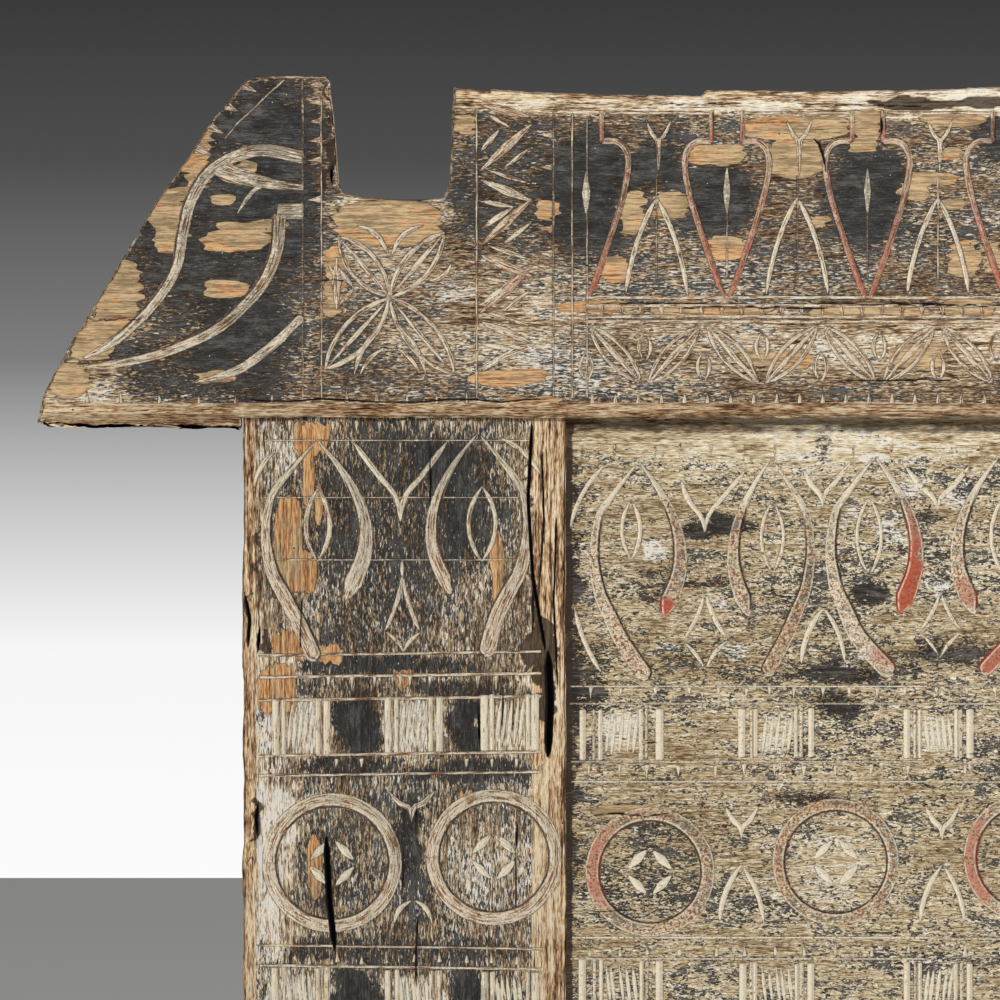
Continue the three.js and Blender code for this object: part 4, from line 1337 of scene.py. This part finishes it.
    # Painted shadow: a dark line along the edges of every cut, its strength set by look["outline"].
    shadow = cut.step(-0.45, 0.1) * cut.step(1.2, 0.4) * (mottle * 2 + grit * 2 + 0.6).step(0.2, 0.8)
    whole = f.mix(shadow * look["outline"], whole, colours["dirt"])

    holes = f.dots(look["holes"][0], look["holes"][1], look["holes"][2])
    # Painted shade: cracks, worm holes and fine checks are filled with near-black.
    gap = split.step(0.5, -0.3)
    whole = f.mix(gap.most(holes), whole, colours["hollow"])
    checks = f.noise(34, 1.3, 2, 0.5, 57, 0.3).step(look["checks"], look["checks"] - 0.04)
    whole = f.mix(checks * 0.85, whole, colours["hollow"])
    speck = f.dots(7, 0.5, 0.2) * painted
    whole = f.mix(speck * 0.9, whole, colours["chalk"])

    height = (fibre * 0.7 + streak * (1.2 - painted * 0.7) + grit * 0.35 + gouged * inside * 0.9
              + painted * (1 - inside) * 0.25 - holes * 1.4 - checks * 0.8 + fleck * 0.3)
    roughness = 0.92 - painted * (1 - inside) * 0.2
    return f.finish(whole, roughness, height, look["bump"])


def register_colours(paint):
    """The colours that every board shares, from the settings in the sidebar."""
    def shade_of(colour, factor):
        return (colour[0] * factor, colour[1] * factor, colour[2] * factor, 1.0)
    return {
        "fresh": [(0.15, srgb(112, 62, 34)), (0.5, tuple(paint.fresh_wood) + (1.0,)), (0.9, srgb(222, 176, 118))],
        "bare_dark": shade_of(paint.bare_wood, 0.5),
        "bare_pale": shade_of(paint.bare_wood, 1.15),
        "cut_wood": srgb(216, 184, 146),
        "cut_dark": srgb(128, 92, 66),
        "chalk": srgb(228, 222, 210),
        "lime": tuple(paint.lime) + (1.0,),
        "red": tuple(paint.red) + (1.0,),
        "faded_red": srgb(196, 146, 124),
        "deep_red": srgb(134, 48, 26),
        # Dark brown for dirt, and for painted shade along cut edges, in the steep walls of broad cuts and on the
        # panel beside the stiles and under the lip.
        "dirt": srgb(56, 42, 32),
        # Near-black painted shade inside cracks, holes and checks.
        "hollow": srgb(22, 18, 15),
        "raw": [(0.1, srgb(66, 42, 28)), (0.38, srgb(152, 112, 76)), (0.56, srgb(200, 164, 120)),
                (0.85, srgb(240, 220, 184))],
    }


def top_finish(colours):
    wood = [(0.1, srgb(54, 38, 28)), (0.38, srgb(144, 116, 86)), (0.56, srgb(204, 178, 142)),
            (0.82, srgb(246, 234, 208))]
    paint = [(0.2, srgb(34, 33, 31)), (0.55, srgb(56, 54, 51)), (0.95, srgb(98, 95, 91))]
    look = {"contrast": 2.0, "streak": 1.5, "mottle": 1.2, "blotch": 0.4, "fibre": 1.2, "soft": 0.04,
            "fleck": (7, 1.6, 2.0, 0.5), "smear": (12, 2.2), "sweep": (0.045, 0.75), "warm": 0.16, "red": 1.2,
            "stain": 0.6, "outline": 0.7, "crisp": 0.1, "merge": 0.0, "holes": (16, 0.9, 0.16), "checks": 0.31,
            "bump": 1.1}
    return carved_finish("charcoaled_wood", False, wood, paint, look, colours)


def stile_finish(colours):
    wood = [(0.1, srgb(58, 44, 32)), (0.38, srgb(146, 122, 94)), (0.56, srgb(206, 182, 148)),
            (0.82, srgb(244, 232, 206))]
    paint = [(0.2, srgb(28, 27, 26)), (0.55, srgb(48, 47, 45)), (0.95, srgb(90, 88, 84))]
    look = {"contrast": 2.2, "streak": 1.5, "mottle": 1.1, "blotch": 0.5, "fibre": 1.5, "soft": 0.04,
            "fleck": (6.5, 1.5, 2.2, 0.4), "smear": (12, 1.9), "sweep": (0.045, 0.75), "warm": 0.5, "red": 0.9,
            "stain": 0.45, "outline": 0.65, "crisp": 0.25, "merge": 0.15, "holes": (15, 0.9, 0.14),
            "checks": 0.32, "bump": 1.2}
    return carved_finish("stile_wood", True, wood, paint, look, colours)


def panel_finish(colours):
    wood = [(0.1, srgb(104, 80, 54)), (0.38, srgb(184, 162, 126)), (0.56, srgb(216, 198, 162)),
            (0.82, srgb(244, 236, 214))]
    paint = [(0.2, srgb(28, 25, 22)), (0.55, srgb(50, 45, 40)), (0.95, srgb(104, 98, 90))]
    look = {"contrast": 1.2, "streak": 0.5, "mottle": 1.5, "blotch": 0.9, "fibre": 0.9, "soft": 0.05,
            "fleck": (4.6, 1.9, 2.6, 0.9), "smear": (9, 2.4), "sweep": (0.3, 0.34), "warm": 0.1, "red": 1.0,
            "stain": 0.25, "outline": 0.45, "crisp": 0.5, "merge": 0.75, "holes": (24, 0.8, 0.1),
            "checks": 0.29, "bump": 1.0}
    return carved_finish("panel_wood", False, wood, paint, look, colours)


# Add-on

class CarvedBoardSettings(bpy.types.PropertyGroup):
    """Colours of the paint and the wood."""

    bare_wood: bpy.props.FloatVectorProperty(
        name="Bare wood", description="Wood where the surface has come away", subtype="COLOR", size=3,
        min=0, max=1, default=srgb(200, 170, 128)[:3])
    fresh_wood: bpy.props.FloatVectorProperty(
        name="Fresh wood", description="Orange wood where a chip has lately come off", subtype="COLOR", size=3,
        min=0, max=1, default=srgb(190, 128, 74)[:3])
    lime: bpy.props.FloatVectorProperty(
        name="Lime", description="White left in the cuts", subtype="COLOR", size=3,
        min=0, max=1, default=srgb(234, 224, 200)[:3])
    red: bpy.props.FloatVectorProperty(
        name="Red", description="Red left in the cuts", subtype="COLOR", size=3,
        min=0, max=1, default=srgb(176, 74, 48)[:3])


class CarvedStageSettings(bpy.types.PropertyGroup):
    """The camera, the floor and the lights."""

    distance: bpy.props.FloatProperty(
        name="Camera distance", description="From the camera to the carved face", unit="LENGTH",
        min=2, max=20, default=8.0)
    floor_height: bpy.props.FloatProperty(
        name="Floor height", description="Height of the floor under the panel", unit="LENGTH",
        default=SAWN_FOOT * MM - 0.005)
    key_power: bpy.props.FloatProperty(
        name="Key light", description="Power of the large light at the upper right", unit="POWER",
        min=0, default=195.0)
    fill_power: bpy.props.FloatProperty(
        name="Fill light", description="Power of the light at the left", unit="POWER", min=0, default=20.0)


def dressed(board, finish):
    """Builds a board, gives it its finish and puts it in place of the plain one."""
    piece = board.build()
    piece.data.materials.append(finish)
    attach(piece, "root")
    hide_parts(board.name)
    return piece


class CARVED_OT_top_board(bpy.types.Operator):
    """Models the horned top board"""

    bl_idname = "carved.top_board"
    bl_label = "Top board"

    def execute(self, context):
        colours = register_colours(context.scene.carved_paint)
        dressed(TopBoard(), top_finish(colours))
        return {"FINISHED"}


class CARVED_OT_stiles(bpy.types.Operator):
    """Models the two upright boards"""

    bl_idname = "carved.stiles"
    bl_label = "Stiles"

    def execute(self, context):
        finish = stile_finish(register_colours(context.scene.carved_paint))
        for side in (-1, 1):
            dressed(Stile(side), finish)
        return {"FINISHED"}


class CARVED_OT_centre_panel(bpy.types.Operator):
    """Models the centre panel"""

    bl_idname = "carved.centre_panel"
    bl_label = "Centre panel"

    def execute(self, context):
        finish = panel_finish(register_colours(context.scene.carved_paint))
        dressed(CentrePanel(), finish)
        return {"FINISHED"}


FLOOR_SIDE = 18.0


def area_light(name, place, target, size, power):
    light = bpy.data.lights.new(name, "AREA")
    light.shape = "SQUARE"
    light.size = size
    light.energy = power
    lamp = bpy.data.objects.new(name, light)
    lamp.location = place
    lamp.rotation_euler = (Vector(target) - Vector(place)).to_track_quat("-Z", "Y").to_euler()
    bpy.context.collection.objects.link(lamp)


class CARVED_OT_stage(bpy.types.Operator):
    """Sets the floor, the lights, the backdrop's shades and the camera"""

    bl_idname = "carved.stage"
    bl_label = "Stage"

    def execute(self, context):
        scene = context.scene
        stage = scene.carved_stage
        self.floor(stage.floor_height)
        self.world(scene)
        aim = (-0.4, 0, -0.35)
        area_light("key", (2.4, -4.2, 1.5), aim, 0.9, stage.key_power)
        area_light("fill", (-2.8, -2.6, 0.6), aim, 2.2, stage.fill_power)
        camera = bpy.data.cameras.new("camera")
        camera.lens = 36 * stage.distance
        camera.clip_end = 100
        shot = bpy.data.objects.new("camera", camera)
        face = -STILE_THICK * MM
        shot.location = (-0.437, face - stage.distance, -0.240)
        shot.rotation_euler = (math.pi / 2, 0, 0)
        bpy.context.collection.objects.link(shot)
        scene.camera = shot
        scene.view_settings.view_transform = "Standard"
        return {"FINISHED"}

    def floor(self, height):
        bm = bmesh.new()
        place = Matrix.Translation((0, 0, height)) @ Matrix.Diagonal((FLOOR_SIDE, FLOOR_SIDE, 1, 1))
        bmesh.ops.create_grid(bm, x_segments=1, y_segments=1, size=0.5, matrix=place)
        mesh = bpy.data.meshes.new("floor")
        bm.to_mesh(mesh)
        bm.free()
        floor = bpy.data.objects.new("floor", mesh)
        bpy.context.collection.objects.link(floor)
        material = bpy.data.materials.new("pale_floor")
        material.use_nodes = True
        f = Finish(material.node_tree)
        surface = f.node("ShaderNodeBsdfPrincipled", sockets={"Base Color": srgb(226, 226, 224),
                                                              "Roughness": 0.7})
        f.node("ShaderNodeOutputMaterial", sockets={"Surface": surface})
        mesh.materials.append(material)

    def world(self, scene):
        """Even soft light, and a grey that pales downwards where the camera looks past the panel."""
        world = bpy.data.worlds.new("studio")
        world.use_nodes = True
        scene.world = world
        f = Finish(world.node_tree)
        direction = f.node("ShaderNodeTexCoord", output="Generated")
        rise = f.node("ShaderNodeSeparateXYZ", sockets={0: direction}, output="Z")
        backdrop = f.ramp(rise * 8.0 + 0.5, [
            (0.0, srgb(255, 255, 255)), (0.35, srgb(246, 246, 246)), (0.5, srgb(196, 196, 196)),
            (0.64, srgb(126, 126, 126)), (0.84, srgb(78, 78, 78)), (1.0, srgb(58, 58, 58))])
        seen = f.node("ShaderNodeLightPath", output="Is Camera Ray")
        colour = f.mix(seen, (0.28, 0.28, 0.28, 1), backdrop)
        glow = f.node("ShaderNodeBackground", sockets={"Color": colour, "Strength": 1.0})
        f.node("ShaderNodeOutputWorld", sockets={"Surface": glow})


class CARVED_PT_panel(bpy.types.Panel):
    """Lists the pieces and their settings"""

    bl_idname = "CARVED_PT_panel"
    bl_label = "Carved panel"
    bl_space_type = "VIEW_3D"
    bl_region_type = "UI"
    bl_category = "Carved panel"

    def draw(self, context):
        for settings, names in ((context.scene.carved_paint, ("bare_wood", "fresh_wood", "lime", "red")),
                                (context.scene.carved_stage,
                                 ("distance", "floor_height", "key_power", "fill_power"))):
            for name in names:
                self.layout.prop(settings, name)
        for operator in OPERATORS:
            self.layout.operator(operator.bl_idname)


OPERATORS = (CARVED_OT_top_board, CARVED_OT_stiles, CARVED_OT_centre_panel, CARVED_OT_stage)
CLASSES = (CarvedBoardSettings, CarvedStageSettings, *OPERATORS, CARVED_PT_panel)


def register():
    for item in CLASSES:
        bpy.utils.register_class(item)
    bpy.types.Scene.carved_paint = bpy.props.PointerProperty(type=CarvedBoardSettings)
    bpy.types.Scene.carved_stage = bpy.props.PointerProperty(type=CarvedStageSettings)


def unregister():
    del bpy.types.Scene.carved_paint
    del bpy.types.Scene.carved_stage
    for item in reversed(CLASSES):
        bpy.utils.unregister_class(item)


def main():
    register()
    bpy.ops.carved.stage()
    bpy.ops.carved.top_board()
    bpy.ops.carved.stiles()
    bpy.ops.carved.centre_panel()


if __name__ == "__main__":
    main()
